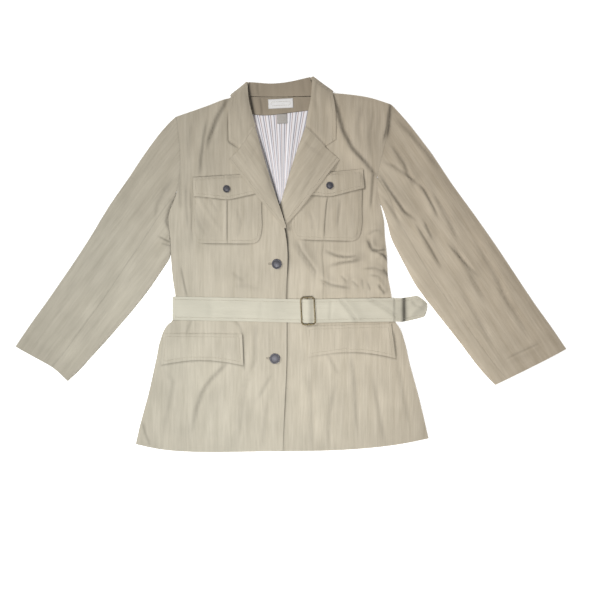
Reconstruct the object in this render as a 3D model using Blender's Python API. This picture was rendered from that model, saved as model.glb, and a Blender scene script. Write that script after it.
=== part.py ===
"""A belted utility jacket laid flat on its back: collar towards +Y, belt along X, +Z up from the table.

Right and left are the wearer's, so the right half lies towards -X.
"""

import math
from collections import namedtuple

import bmesh
import bpy
import numpy as np
from mathutils import Matrix, Vector
from mathutils.bvhtree import BVHTree

# Units: every size and place is in millimetres. MM turns them into metres.
MM = 0.001

# Cloth and lay-up
SHELL = 1.5
LINING = 1.0
LAY = 0.4
SEAM = 0.6
ARMHOLE_GAP = 1.1
PUFF = 2.8
EDGE_ROUND = 14.0
CINCH = 0.45
CINCH_REACH = 20.0
SETTLE_ROUNDS = 3
FRONT_SPACING = 26.0
SLEEVE_SPACING = 28.0
TURN_IN = 3.0
SKY = 200.0

# Belt and buckle
BELT_WIDTH = 49.0
BELT_THICK = 1.6
BELT_WRAP_STEPS = 5
BELT_EASE = 14.0
BELT_RAMP = 20.0
BUCKLE_X = 36.5
BUCKLE_Y = -99.0
BUCKLE_WIDTH = 31.0
BUCKLE_HEIGHT = 60.0
BUCKLE_CORNER = 7.0
BUCKLE_WIRE = 1.5
BUCKLE_BAR = 1.2
BUCKLE_TILT = math.radians(3.0)
WEAVE_REACH = 26.0

# Pockets
POCKET_HALF = 71.5
POCKET_DROP = 141.0
POCKET_TOP = 12.0
POCKET_PUFF = 1.6
POCKET_ROUND = 12.0
PLEAT_DEPTH = 1.3
PLEAT_HALF = 1.6
FLAP_HALF = 72.5
FLAP_SIDE = 39.0
FLAP_POINT = 51.0
HIP_FLARE = 3.0

# Buttons
FRONT_BUTTON = 21.0
POCKET_BUTTON = 15.5
BUTTON_SIDES = 16

# Collar and lapels
LAPEL_EASE = 0.6
COLLAR_NOTCH = 0.6
ROLL_DIP = 2.0
ROLL_REACH = 0.05
LEAF_SAG = 2.0
NOTCH_GAP = 1.2
BEND_STEPS = 4
NECK_MIDDLE = -20.0
NECK_HALF = 106.0
NECK_LOW = 315.0
NECK_RAMP = 26.0

# Label
LABEL_X, LABEL_Y = -20.5, 335.0
LABEL_WIDTH, LABEL_HEIGHT = 52.0, 20.0
TAB_X, TAB_Y = -17.5, 303.5
TAB_WIDTH, TAB_HEIGHT = 21.0, 20.0
LABEL_TILT = math.radians(3.0)

Section = namedtuple("Section", "side_x side_y front_x front_y")
Sleeve = namedtuple("Sleeve", "outer_x outer_y inner_x inner_y")
Lapel = namedtuple("Lapel", "roll_x roll_y edge_x edge_y")
Fall = namedtuple("Fall", "fold_x fold_y edge_x edge_y turn")
Fold = namedtuple("Fold", "x1 y1 x2 y2 height width")
Pocket = namedtuple("Pocket", "x y tilt lean")
Flap = namedtuple("Flap", "x y tilt half shear drop_right drop_left arch")
Run = namedtuple("Run", "x y")
Turned = namedtuple("Turned", "radius height")
Point = namedtuple("Point", "x y")
Tail = namedtuple("Tail", "x y half lift")

# Fronts, a row for each section from shoulder to hem
FRONT_RIGHT = [
    Section(-238, 308, -104, 353.5),
    Section(-231, 240, -87, 316),
    Section(-231, 190, -67, 245),
    Section(-240, 139, -50, 182),
    Section(-256, 100, -31, 122),
    Section(-251, 52, -12, 72),
    Section(-250, 12, -6, 25),
    Section(-245, -40, -8, -30),
    Section(-240, -70, -10, -69),
    Section(-239, -96, -9, -96),
    Section(-240, -117, -8, -117),
    Section(-257, -127, -8, -127),
    Section(-266, -141, -8, -141),
    Section(-280, -197, -8, -197),
    Section(-297, -273, -11, -270),
    Section(-312, -328, -14, -330),
    Section(-324, -378, -16, -391),
]
FRONT_LEFT = [
    Section(209, 334, 66, 358.5),
    Section(205, 295, 52, 325),
    Section(197, 250, 36, 280),
    Section(186, 208, 18, 230),
    Section(180, 172, 3, 180),
    Section(186, 130, -11, 134),
    Section(196, 88, -34, 72),
    Section(197, 60, -46, 50),
    Section(202, 12, -50, 10),
    Section(204, -30, -50, -30),
    Section(212, -70, -50, -70),
    Section(213, -96, -50, -96),
    Section(214, -118, -50, -118),
    Section(226, -130, -50, -130),
    Section(233, -144, -50, -144),
    Section(249, -208, -50, -206),
    Section(270, -285, -50, -285),
    Section(283, -340, -50, -344),
    Section(289, -366, -52, -392.5),
]
HEM_RIGHT = [Point(-324, -378), Point(-270, -389), Point(-205, -394), Point(-110, -394), Point(-16, -391)]
HEM_LEFT = [Point(-52, -392.5), Point(45, -392), Point(140, -388), Point(240, -376), Point(289, -366)]
HEM_BACK = [Point(-324, -378), Point(-205, -393), Point(-30, -392), Point(140, -387), Point(289, -366)]
SHOULDER_RIGHT = [Point(-238, 308), Point(-182, 327), Point(-140, 341.5), Point(-104, 352.5)]
SHOULDER_LEFT = [Point(209, 334), Point(166, 347.5), Point(121, 354), Point(66, 358.5)]
BACK_TOP = [
    Point(-238, 308), Point(-182, 325), Point(-124, 343.5), Point(-90, 347), Point(40, 348.5),
    Point(121, 351.5), Point(166, 345.5), Point(209, 334),
]
ARMPIT_RIGHT = 17.0
ARMPIT_LEFT = 130.0

# Sleeves, a row for each section from armhole to cuff
SLEEVE_RIGHT = [
    Sleeve(-239, 308, -251, 17),
    Sleeve(-252, 297, -253, 11),
    Sleeve(-295, 244, -266, -8),
    Sleeve(-337, 181, -291, -46),
    Sleeve(-381, 118, -320, -84),
    Sleeve(-427, 42, -352, -122),
    Sleeve(-469, -21, -385, -160),
    Sleeve(-513, -84, -419, -197),
    Sleeve(-549, -134, -442, -223),
    Sleeve(-576, -174, -467, -246),
]
SLEEVE_LEFT = [
    Sleeve(210, 334, 187, 130),
    Sleeve(222, 322, 191, 122),
    Sleeve(266, 269, 203, 92),
    Sleeve(295, 231, 209, 60),
    Sleeve(337, 168, 224, 29),
    Sleeve(383, 105, 243, -8),
    Sleeve(427, 42, 264, -46),
    Sleeve(469, -21, 322, -122),
    Sleeve(511, -84, 352, -160),
    Sleeve(547, -134, 400, -223),
    Sleeve(577.5, -179, 429, -254),
]
CUFF_RIGHT = [Point(-576, -174), Point(-534, -197), Point(-490, -223), Point(-467, -246)]
CUFF_LEFT = [Point(577.5, -179), Point(530, -204), Point(480, -229), Point(429, -254)]
SEAM_AT_RIGHT = (0.55, 0.67)
SEAM_AT_LEFT = (0.76, 0.84)

# Lapels, a row for each section from gorge to break
LAPEL_RIGHT = [
    Lapel(-74, 286, -129, 217),
    Lapel(-62, 240, -106, 187),
    Lapel(-45, 184, -77, 150),
    Lapel(-26, 125, -46, 112),
    Lapel(-8.5, 74, -13, 72),
]
LAPEL_LEFT = [
    Lapel(32, 286, 102, 218),
    Lapel(12, 229, 82, 192),
    Lapel(-3, 180, 53, 155),
    Lapel(-17, 134, 20, 113),
    Lapel(-32, 84, -18, 72),
]
NOTCH_RIGHT = Point(-104, 242)
NOTCH_LEFT = Point(72, 244)

# Collar fall, from the left leaf round the back of the neck to the right leaf; turn 0 on top, 180 beneath
COLLAR_FALL = [
    Fall(32, 288, 94.5, 260, 0),
    Fall(37, 318, 95, 300, 0),
    Fall(43, 348, 92.5, 333, 0),
    Fall(45.5, 390, 87.5, 357.5, 0),
    Fall(45.5, 390, 87.5, 357.5, 180),
    Fall(14, 382.5, 40, 334, 180),
    Fall(-32, 376, -25, 322, 180),
    Fall(-75, 379, -80, 332, 180),
    Fall(-90, 378.5, -123.5, 349.5, 180),
    Fall(-90, 378.5, -123.5, 349.5, 0),
    Fall(-88, 345, -129, 328, 0),
    Fall(-80, 312, -130, 295, 0),
    Fall(-73, 288, -129, 258, 0),
]
STAND_SEAM = [Point(-94, 350.5), Point(-20, 349.5), Point(52, 352)]
STAND_FOLD = [Point(-87, 375), Point(-32, 373), Point(14, 378), Point(41, 384)]
FACING_TOP = [Point(-102, 349.5), Point(-20, 348.5), Point(62, 350)]
FACING_LOW = [Point(-98, 316), Point(-58, 311), Point(3, 317), Point(58, 324)]
LINING_TOP = [Point(-98, 315.3), Point(-58, 310.3), Point(3, 316.3), Point(58, 323.3)]
LINING_LOW = [Point(-48, 104), Point(-20, 102), Point(8, 104)]

# Largest folds of the fronts: troughs are negative
FRONT_FOLDS = [
    Fold(-88, 350, -12, 90, 2.4, 16),
    Fold(52, 350, -14, 130, 2.4, 16),
    Fold(-131, 342, -163, 275, -1.2, 12),
    Fold(-184, 286, -190, 193, -1.0, 11),
    Fold(-215, 218, -211, 50, -1.2, 11),
    Fold(-224, -2, -213, -67, -1.2, 10),
    Fold(-131, -210, -180, -269, -1.8, 13),
    Fold(-180, -269, -198, -349, -1.5, 14),
    Fold(-155, -250, -150, -360, 1.2, 20),
    Fold(-77, -125, -72, -212, -1.8, 12),
    Fold(-72, -212, -100, -275, -1.5, 12),
    Fold(-100, -275, -106, -370, -1.0, 13),
    Fold(-253, -223, -240, -275, -1.3, 12),
    Fold(-240, -275, -264, -349, -1.0, 12),
    Fold(93, 351, 114, 288, -2.2, 11),
    Fold(114, 288, 127, 248, -2.4, 11),
    Fold(127, 248, 175, 193, -2.4, 11),
    Fold(175, 193, 180, 150, -1.5, 11),
    Fold(120, 340, 158, 250, 2.4, 22),
    Fold(41, 4, 53, -27, -1.8, 11),
    Fold(53, -27, 123, -48, -1.6, 11),
    Fold(79, 6, 173, 21, 2.0, 12),
    Fold(158, 54, 171, 29, -2.4, 10),
    Fold(171, 29, 198, 31, -2.4, 10),
    Fold(178, 62, 194, 50, 2.4, 13),
    Fold(188, -13, 206, -59, -1.8, 10),
    Fold(168, -12, 192, -44, 2.0, 11),
    Fold(129, -185, 140, -349, -1.5, 13),
    Fold(72, -206, 89, -338, -1.0, 14),
    Fold(196, -233, 219, -338, -1.1, 14),
]
SLEEVE_RIGHT_FOLDS = [
    Fold(-240, 172, -274, 124, -1.5, 11),
    Fold(-274, 124, -284, 82, -1.5, 11),
    Fold(-262, 200, -320, 120, 1.4, 18),
    Fold(-272, 59, -255, 50, -1.5, 9),
]
SLEEVE_LEFT_FOLDS = [
    Fold(205, 258, 242, 202, -2.0, 11),
    Fold(242, 202, 282, 157, -2.2, 11),
    Fold(282, 157, 310, 101, -2.0, 11),
    Fold(184, 187, 226, 124, -1.9, 10),
    Fold(226, 124, 255, 88, -1.6, 10),
    Fold(222, 160, 282, 60, 1.8, 13),
    Fold(280, 97, 314, 2, -1.6, 11),
    Fold(320, 60, 400, -60, 1.2, 15),
    Fold(360, 19, 402, -40, -1.2, 11),
    Fold(429, -214, 541, -155, -0.9, 9),
]

# Chest pockets and hip flaps: middle of the top edge and tilt in degrees; lean is a chest pocket's own tilt
CHEST_RIGHT = Pocket(-132, 184, 3.4, -0.5)
CHEST_LEFT = Pocket(79, 190.5, 5.0, -1.6)
HIP_RIGHT = Flap(-184, -147, -0.4, 86, 0, 65, 65, 11)
HIP_LEFT = Flap(122, -128.5, 1.7, 91.5, 4.6, 64.5, 72, 12.5)

# Belt, its middle line along the front from side to side, and the free end past the left side
BELT_FRONT = [Run(-242.5, -93), Run(-120, -95), Run(36, -99), Run(120, -97), Run(216.5, -96)]
BELT_TAIL = [
    Tail(229, -95.5, 25.0, 4.8),
    Tail(247, -94.5, 24.5, 2.0),
    Tail(264, -92.5, 25.0, 1.5),
    Tail(278, -93.5, 20.5, 2.2),
    Tail(286.5, -93, 10.0, 2.8),
]

# Turned button, from its centre on top, out over the rim and back to the shank
BUTTON_PROFILE = [
    Turned(0.0, 4.4), Turned(0.45, 4.1), Turned(0.74, 3.3), Turned(0.82, 3.6), Turned(0.93, 3.5),
    Turned(1.0, 2.7), Turned(0.9, 1.9), Turned(0.28, 1.5), Turned(0.28, 0.0), Turned(0.0, 0.0),
]
BUTTONS = {
    "button_front_upper": (FRONT_BUTTON, Point(-28.5, -1.0)),
    "button_front_lower": (FRONT_BUTTON + 1.0, Point(-32.5, -198.5)),
    "button_pocket_right": (POCKET_BUTTON, Point(-133, 155.5)),
    "button_pocket_left": (POCKET_BUTTON, Point(82, 162.5)),
}

KHAKI = (0.55, 0.50, 0.41, 1.0)
BELT_CLOTH = (0.66, 0.63, 0.52, 1.0)
LINING_CLOTH = (0.78, 0.77, 0.76, 1.0)
LABEL_CLOTH = (0.85, 0.84, 0.82, 1.0)
METAL = (0.16, 0.15, 0.14, 1.0)

for old in list(bpy.data.objects):
    bpy.data.objects.remove(old)

trees = {}


def smooth(rows, count, even=True):
    """Points along a smooth curve through the rows of a table, evenly spread."""
    table = np.array(rows, dtype=float)
    steps = np.linalg.norm(np.diff(table, axis=0), axis=1)
    along = np.concatenate([[0.0], np.cumsum(np.maximum(steps, 1e-6))])
    slope = np.gradient(table, along, axis=0)
    at = np.linspace(0.0, along[-1], count) if even is True else np.asarray(even) * along[-1]
    k = np.clip(np.searchsorted(along, at, side="right") - 1, 0, len(along) - 2)
    span = (along[k + 1] - along[k])[:, None]
    t = ((at - along[k]) / span[:, 0])[:, None]
    h00 = 2 * t**3 - 3 * t**2 + 1
    h10 = t**3 - 2 * t**2 + t
    h01 = 3 * t**2 - 2 * t**3
    h11 = t**3 - t**2
    return h00 * table[k] + h10 * span * slope[k] + h01 * table[k + 1] + h11 * span * slope[k + 1]


def spread(count, pull=0.55):
    """Numbers from 0 to 1, closer together towards both ends."""
    k = np.linspace(0.0, 1.0, count)
    return k - pull * np.sin(2 * math.pi * k) / (2 * math.pi)


def bent(corners, at, where):
    """Straight stretches between corners that sit at the given shares of the edge."""
    table = np.array(corners, dtype=float)
    return np.stack([np.interp(where, at, table[:, axis]) for axis in range(2)], axis=1)


def row_places(sections, spacing, hug=6.0):
    """Shares of the way down at which rows are set: at and between the sections, and close to both ends."""
    steps = np.linalg.norm(np.diff(np.array(sections, dtype=float), axis=0), axis=1) / math.sqrt(2)
    places = [0.0]
    for step in steps:
        parts = max(1, round(step / spacing))
        places += [places[-1] + step * (part + 1) / parts for part in range(parts)]
    places = [0.0, hug] + places[1:-1] + [places[-1] - hug, places[-1]]
    return np.array(places) / places[-1]


def plan(sections, down, across, top=None, low=None):
    """Flat grid (rows, columns, xy) between two edges; its first and last rows may be shaped."""
    edges = smooth(sections, len(down), even=down)
    u = np.asarray(across)[None, :, None]
    grid = edges[:, None, 0:2] * (1 - u) + edges[:, None, 2:4] * u
    v = down[:, None, None]
    for shape, fade in ((top, (1 - v) ** 2), (low, v**2)):
        if shape is not None:
            ends = shape[:1] * (1 - u[0]) + shape[-1:] * u[0]
            grid = grid + fade * (shape - ends)[None]
    return grid


def reach_from(grid, side):
    """Distance of each grid point from one edge of the grid, along its lines."""
    axis = 0 if side in ("first_row", "last_row") else 1
    step = np.linalg.norm(np.diff(grid, axis=axis), axis=2)
    if side.startswith("last"):
        step = np.flip(step, axis)
    gone = np.cumsum(step, axis=axis)
    zero = np.zeros_like(np.take(gone, [0], axis=axis))
    gone = np.concatenate([zero, gone], axis=axis)
    return np.flip(gone, axis) if side.startswith("last") else gone


def round_off(distance, reach):
    """0 at an edge, rising as a quarter round to 1 at reach."""
    k = np.clip(distance / reach, 0.0, 1.0)
    return np.sqrt(1.0 - (1.0 - k) ** 2)


def ease(value, start, end):
    """0 before start, 1 after end, smooth between."""
    k = np.clip((value - start) / (end - start), 0.0, 1.0)
    return k * k * (3 - 2 * k)


def relief(folds, grid):
    """Height of all folds at each grid point."""
    x, y = grid[..., 0], grid[..., 1]
    total = np.zeros_like(x)
    for fold in folds:
        run_x, run_y = fold.x2 - fold.x1, fold.y2 - fold.y1
        share = ((x - fold.x1) * run_x + (y - fold.y1) * run_y) / (run_x**2 + run_y**2)
        share = np.clip(share, 0.0, 1.0)
        off = np.hypot(x - fold.x1 - share * run_x, y - fold.y1 - share * run_y)
        total += fold.height * np.exp(-((off / fold.width) ** 2))
    return total


def belt_line(x):
    """Y of the belt's middle line at x."""
    return np.interp(x, [run.x for run in BELT_FRONT], [run.y for run in BELT_FRONT])


def floor_rise(grid):
    """Height of the back's underside: it rises over the belt and over the collar's fall."""
    x, y = grid[..., 0], grid[..., 1]
    off_belt = np.abs(y - belt_line(x)) - BELT_WIDTH / 2
    over_belt = (BELT_THICK + LAY) * (1 - ease(off_belt, BELT_EASE, BELT_EASE + BELT_RAMP))
    off_neck = np.maximum(np.abs(x - NECK_MIDDLE) - NECK_HALF, 0) + np.maximum(NECK_LOW - y, 0)
    over_fall = (SHELL + LAY) * (1 - ease(off_neck, 0.0, NECK_RAMP))
    return over_belt + over_fall


def material(name, colour, metallic=0.0, roughness=0.85):
    """One Principled material."""
    made = bpy.data.materials.new(name)
    made.use_nodes = True
    shader = made.node_tree.nodes["Principled BSDF"]
    shader.inputs["Base Color"].default_value = colour
    shader.inputs["Metallic"].default_value = metallic
    shader.inputs["Roughness"].default_value = roughness
    made.diffuse_color = colour
    return made


def finish(name, mesh_edit, colour, metallic=0.0, roughness=0.85):
    """Turn an edited mesh into a named object with its own material."""
    mesh = bpy.data.meshes.new(name)
    mesh_edit.to_mesh(mesh)
    mesh_edit.free()
    made = bpy.data.objects.new(name, mesh)
    bpy.context.scene.collection.objects.link(made)
    made.data.materials.append(material(name + "_finish", colour, metallic, roughness))
    return made


def remember(made):
    """Keep a finished piece so that later pieces can be laid on it."""
    bpy.context.view_layer.update()
    trees[made.name] = BVHTree.FromObject(made, bpy.context.evaluated_depsgraph_get())


def sheet(name, points, thick, colour, side=1.0):
    """A cloth wall on a grid of points: they are its underside (side 1) or its middle (side 0)."""
    rows, columns = points.shape[:2]
    edit = bmesh.new()
    verts = [[edit.verts.new(Vector(points[i, j]) * MM) for j in range(columns)] for i in range(rows)]
    for i in range(rows - 1):
        for j in range(columns - 1):
            edit.faces.new((verts[i][j], verts[i + 1][j], verts[i + 1][j + 1], verts[i][j + 1]))
    edit.normal_update()
    middle = edit.faces[:][len(edit.faces) // 2]
    if side > 0 and middle.normal.z < 0:
        bmesh.ops.reverse_faces(edit, faces=edit.faces[:])
    made = finish(name, edit, colour)
    wall = made.modifiers.new("wall", "SOLIDIFY")
    wall.thickness = thick * MM
    wall.offset = side
    wall.use_even_offset = side > 0
    wall.use_rim = True
    remember(made)
    return made


def top_of(names, x, y, reach):
    """Highest point of the named pieces within reach of a place, or None."""
    found = None
    for ring, spots in ((0.0, 1), (0.5 * reach, 6), (reach, 10)):
        for spot in range(spots):
            angle = 2 * math.pi * spot / spots
            start = Vector((x + ring * math.cos(angle), y + ring * math.sin(angle), SKY)) * MM
            for name in names:
                hit = trees[name].ray_cast(start, Vector((0, 0, -1)))[0]
                if hit is not None and (found is None or hit.z / MM > found):
                    found = hit.z / MM
    return found


def lay(grid, low, names, reach=9.0):
    """Grid points at their own height, lifted clear of the pieces they lie on."""
    height = np.array(np.broadcast_to(low, grid.shape[:2]), dtype=float)
    for i in range(grid.shape[0]):
        for j in range(grid.shape[1]):
            below = top_of(names, grid[i, j, 0], grid[i, j, 1], reach)
            if below is not None:
                height[i, j] = max(height[i, j], below + LAY)
    for _ in range(SETTLE_ROUNDS):
        padded = np.pad(height, 1, mode="edge")
        around = padded[:-2, 1:-1] + padded[2:, 1:-1] + padded[1:-1, :-2] + padded[1:-1, 2:]
        height = np.maximum(height, around / 4)
    return np.dstack([grid, height])


# Back panel
sides = smooth(FRONT_RIGHT, 60)[:, 0:2]
other = smooth(FRONT_LEFT, 60)[:, 0:2]
back_rows = [tuple(sides[k]) + tuple(other[k]) for k in range(60)]
across = spread(17, 0.4)
top_edge, low_edge = smooth(BACK_TOP, 17, across), smooth(HEM_BACK, 17, across)
back_plan = plan(back_rows, np.linspace(0, 1, 60), across, top_edge, low_edge)
sheet("back", np.dstack([back_plan, floor_rise(back_plan)]), SHELL, KHAKI)

# Collar stand, back neck facing and lining, one level above the back
across = spread(13, 0.3)
inside = SHELL + LAY
stand_plan = np.stack([
    smooth(STAND_FOLD, 13, across) * (1 - k) + smooth(STAND_SEAM, 13, across) * k for k in (0.0, 0.5, 1.0)
])
stand_sag = 0.5 * np.sin(math.pi * across)[None] * np.array([[0.0], [1.0], [0.6]])
sheet("collar_stand", np.dstack([stand_plan, floor_rise(stand_plan) + inside + stand_sag]), SHELL, KHAKI)

facing_plan = np.stack([
    smooth(FACING_TOP, 13, across) * (1 - k) + smooth(FACING_LOW, 13, across) * k for k in (0.0, 0.5, 1.0)
])
facing_sag = 0.3 * np.sin(math.pi * across)[None] * np.array([[0.6], [1.0], [0.4]])
sheet("neck_facing", np.dstack([facing_plan, floor_rise(facing_plan) + inside + facing_sag]), SHELL, KHAKI)

lining_plan = np.stack([
    smooth(LINING_TOP, 13, across) * (1 - k) + smooth(LINING_LOW, 13, across) * k for k in spread(15, 0.2)
])
sheet("back_lining", np.dstack([lining_plan, floor_rise(lining_plan) + inside]), LINING, LINING_CLOTH)

for name, x, y, width, height, under, colour in (
    ("neck_label", LABEL_X, LABEL_Y, LABEL_WIDTH, LABEL_HEIGHT, ["neck_facing"], LABEL_CLOTH),
    ("size_tab", TAB_X, TAB_Y, TAB_WIDTH, TAB_HEIGHT, ["back_lining", "neck_facing"], LINING_CLOTH),
):
    spots = np.meshgrid(np.linspace(-0.5, 0.5, 5) * width, np.linspace(0.5, -0.5, 3) * height)
    local = np.stack(spots, axis=2)
    turned_x = x + local[..., 0] * math.cos(LABEL_TILT) - local[..., 1] * math.sin(LABEL_TILT)
    turned_y = y + local[..., 0] * math.sin(LABEL_TILT) + local[..., 1] * math.cos(LABEL_TILT)
    sheet(name, lay(np.dstack([turned_x, turned_y]), 0.0, under, 4.0), LINING, colour)


# Fronts
def front_low(grid, armpit):
    """Underside of a front: puffed off the back, closed down along shoulder, side seam and hem."""
    below_arm = 1 - ease(grid[..., 1], armpit - 25, armpit + 20)
    at_side = round_off(reach_from(grid, "first_column"), EDGE_ROUND)
    at_shoulder = round_off(reach_from(grid, "first_row"), EDGE_ROUND)
    at_hem = round_off(reach_from(grid, "last_row"), EDGE_ROUND)
    closed = (1 - below_arm * (1 - at_side)) * at_shoulder * at_hem
    off_belt = np.abs(grid[..., 1] - belt_line(grid[..., 0])) - BELT_WIDTH / 2
    cinched = CINCH + (1 - CINCH) * ease(off_belt, 0.0, CINCH_REACH)
    lifted = np.maximum(PUFF + relief(FRONT_FOLDS, grid), 0.3)
    return floor_rise(grid) + SHELL + LAY + closed * cinched * lifted


across = spread(18, 0.45)
top_edge, low_edge = smooth(SHOULDER_LEFT, 18, across), smooth(HEM_LEFT, 18, 1 - across)
left_plan = plan(FRONT_LEFT, row_places(FRONT_LEFT, FRONT_SPACING), across, top_edge, low_edge)
sheet("front_left", lay(left_plan, front_low(left_plan, ARMPIT_LEFT), ["back"], 10.0), SHELL, KHAKI)


# Chest pockets, their flaps and the lapels
def placed(local, pocket):
    """Local places (across, down) of a pocket turned and set on the front."""
    tilt = math.radians(pocket.tilt)
    x = pocket.x + local[..., 0] * math.cos(tilt) + local[..., 1] * math.sin(tilt)
    y = pocket.y + local[..., 0] * math.sin(tilt) - local[..., 1] * math.cos(tilt)
    return np.dstack([x, y])


POCKET_ROWS = [
    Section(-POCKET_HALF, POCKET_TOP, POCKET_HALF, POCKET_TOP),
    Section(-POCKET_HALF, 0.5 * POCKET_DROP, POCKET_HALF, 0.5 * POCKET_DROP),
    Section(-POCKET_HALF, POCKET_DROP - 20, POCKET_HALF, POCKET_DROP - 20),
    Section(-POCKET_HALF + 4, POCKET_DROP - 7, POCKET_HALF - 4, POCKET_DROP - 7),
    Section(-POCKET_HALF + 14, POCKET_DROP, POCKET_HALF - 14, POCKET_DROP),
]


def chest_pocket(side, pocket, front):
    """Patch pocket with an inverted pleat, then its pointed flap."""
    pleat = PLEAT_HALF / (2 * POCKET_HALF)
    u = np.array([0.0, 0.04, 0.14, 0.28, 0.42, 0.5 - pleat, 0.5, 0.5 + pleat, 0.58, 0.72, 0.86, 0.96, 1.0])
    local = plan(POCKET_ROWS, row_places(POCKET_ROWS, 18.0, 4.0), u)
    grid = placed(local, pocket._replace(tilt=pocket.lean))
    sewn = np.ones(local.shape[:2])
    for edge in ("first_column", "last_column", "last_row"):
        sewn = sewn * round_off(reach_from(local, edge), POCKET_ROUND)
    points = lay(grid, 0.0, [front], 7.0)
    points[..., 2] += POCKET_PUFF * sewn
    points[..., 2] -= np.where(np.abs(u - 0.5) < 1e-6, PLEAT_DEPTH, 0.0)[None] * sewn
    sheet("chest_pocket_" + side, points, SHELL, KHAKI)

    u = np.array([0.0, 0.03, 0.12, 0.25, 0.38, 0.5, 0.62, 0.75, 0.88, 0.97, 1.0])
    drop = FLAP_SIDE + (FLAP_POINT - FLAP_SIDE) * (1 - np.abs(2 * u - 1)) ** 1.15
    rows = np.array([0.0, 0.08, 0.35, 0.65, 0.92, 1.0])
    local = np.dstack([
        np.broadcast_to((2 * u - 1) * FLAP_HALF, (6, 11)),
        rows[:, None] * drop[None],
    ])
    grid = placed(local, pocket)
    points = lay(grid, 0.0, [front, "chest_pocket_" + side], 9.0)
    points[..., 2] += 0.5 * np.sin(math.pi * rows)[:, None]
    sheet("chest_flap_" + side, points, SHELL, KHAKI)


def lapel(side, rows, notch, under):
    """Turned-back lapel: rolled along its inner edge, lying on the front, pocket and flap."""
    u = np.array([0.0, 0.04, 0.12, 0.28, 0.44, COLLAR_NOTCH, 0.8, 1.0])
    first = rows[0]
    corners = [(first.roll_x, first.roll_y), (notch.x, notch.y), (first.edge_x, first.edge_y)]
    grid = plan(rows, spread(13), u, bent(corners, [0.0, COLLAR_NOTCH, 1.0], u))
    points = lay(grid, 0.0, under, 10.0)
    dip = ROLL_DIP * np.clip(1 - u / ROLL_REACH, 0, 1) ** 2
    points[..., 2] += LAPEL_EASE - dip[None]
    sheet("lapel_" + side, points, SHELL, KHAKI)


chest_pocket("left", CHEST_LEFT, "front_left")
lapel("left", LAPEL_LEFT, NOTCH_LEFT, ["front_left", "chest_pocket_left", "chest_flap_left"])

top_edge, low_edge = smooth(SHOULDER_RIGHT, 18, across), smooth(HEM_RIGHT, 18, across)
right_plan = plan(FRONT_RIGHT, row_places(FRONT_RIGHT, FRONT_SPACING), across, top_edge, low_edge)
right_low = front_low(right_plan, ARMPIT_RIGHT)
sheet("front_right", lay(right_plan, right_low, ["back", "front_left", "lapel_left"], 17.0), SHELL, KHAKI)

chest_pocket("right", CHEST_RIGHT, "front_right")
lapel("right", LAPEL_RIGHT, NOTCH_RIGHT, ["front_right", "chest_pocket_right", "chest_flap_right"])


# Collar fall
def collar_fall():
    """Leaves on the fronts, bent over the shoulder line to the stretch beneath the back of the neck."""
    t = np.array([0.0, 0.04, 0.12, 0.28, 0.44, COLLAR_NOTCH, 0.8, 1.0])
    under = ["front_left", "front_right", "collar_stand", "neck_facing"]
    turns = [row.turn for row in COLLAR_FALL]
    bends = [k for k in range(len(turns) - 1) if turns[k] != turns[k + 1]]
    stretches = (
        (COLLAR_FALL[: bends[0] + 1], 9, 0),
        (COLLAR_FALL[bends[0] + 1 : bends[1] + 1], 9, 180),
        (COLLAR_FALL[bends[1] + 1 :], 9, 0),
    )
    dip = ROLL_DIP * np.clip(1 - t / ROLL_REACH, 0, 1) ** 2
    made = []
    for rows, count, turn in stretches:
        edges = smooth([row[:4] for row in rows], count)
        grid = edges[:, None, 0:2] * (1 - t[None, :, None]) + edges[:, None, 2:4] * t[None, :, None]
        if turn == 0:
            at_front = 0 if not made else count - 1
            notch = NOTCH_LEFT if not made else NOTCH_RIGHT
            row = rows[0] if not made else rows[-1]
            corners = [(row.fold_x, row.fold_y), (notch.x, notch.y + NOTCH_GAP), (row.edge_x, row.edge_y)]
            edge = bent(corners, [0.0, COLLAR_NOTCH, 1.0], t)
            fade = np.abs(np.arange(count) - at_front) / (count - 1)
            grid = grid + ((1 - fade) ** 3)[:, None, None] * (edge - grid[at_front])[None]
            points = lay(grid, 0.0, under, 8.0)
            lowest = points[..., 2].max(axis=1, keepdims=True) - LEAF_SAG
            points[..., 2] = np.maximum(points[..., 2], lowest) - dip[None] * (1 - fade[:, None]) ** 0.5
            points[..., 2] += SHELL / 2
        else:
            points = np.dstack([grid, np.full(grid.shape[:2], SHELL / 2)])
        made.append(points)
    over = []
    for first, second, top_first in ((made[0][-1], made[1][0], True), (made[1][-1], made[2][0], False)):
        top, low = (first, second) if top_first else (second, first)
        along = top[-1, :2] - top[0, :2]
        out = np.array([-along[1], along[0]]) / np.linalg.norm(along)
        out = out if out[1] > 0 else -out
        steps = np.linspace(0, math.pi, BEND_STEPS + 1)[1:-1]
        rows = []
        for angle in steps if top_first else steps[::-1]:
            radius = (top[:, 2] - low[:, 2]) / 2
            middle = (top[:, 2] + low[:, 2]) / 2
            place = top[:, :2] + (radius * math.sin(angle))[:, None] * out[None]
            rows.append(np.column_stack([place, middle + radius * math.cos(angle)]))
        over.append(np.stack(rows))
    return np.concatenate([made[0], over[0], made[1], over[1], made[2]])


sheet("collar_fall", collar_fall(), SHELL, KHAKI, 0.0)


# Sleeves
def armhole_of(sections, armpit):
    """The side edge of a front from its shoulder tip down to the armpit."""
    edge = smooth(sections, 241)[:, 0:2]
    return edge[: np.argmax(edge[:, 1] < armpit) + 1]


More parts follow.
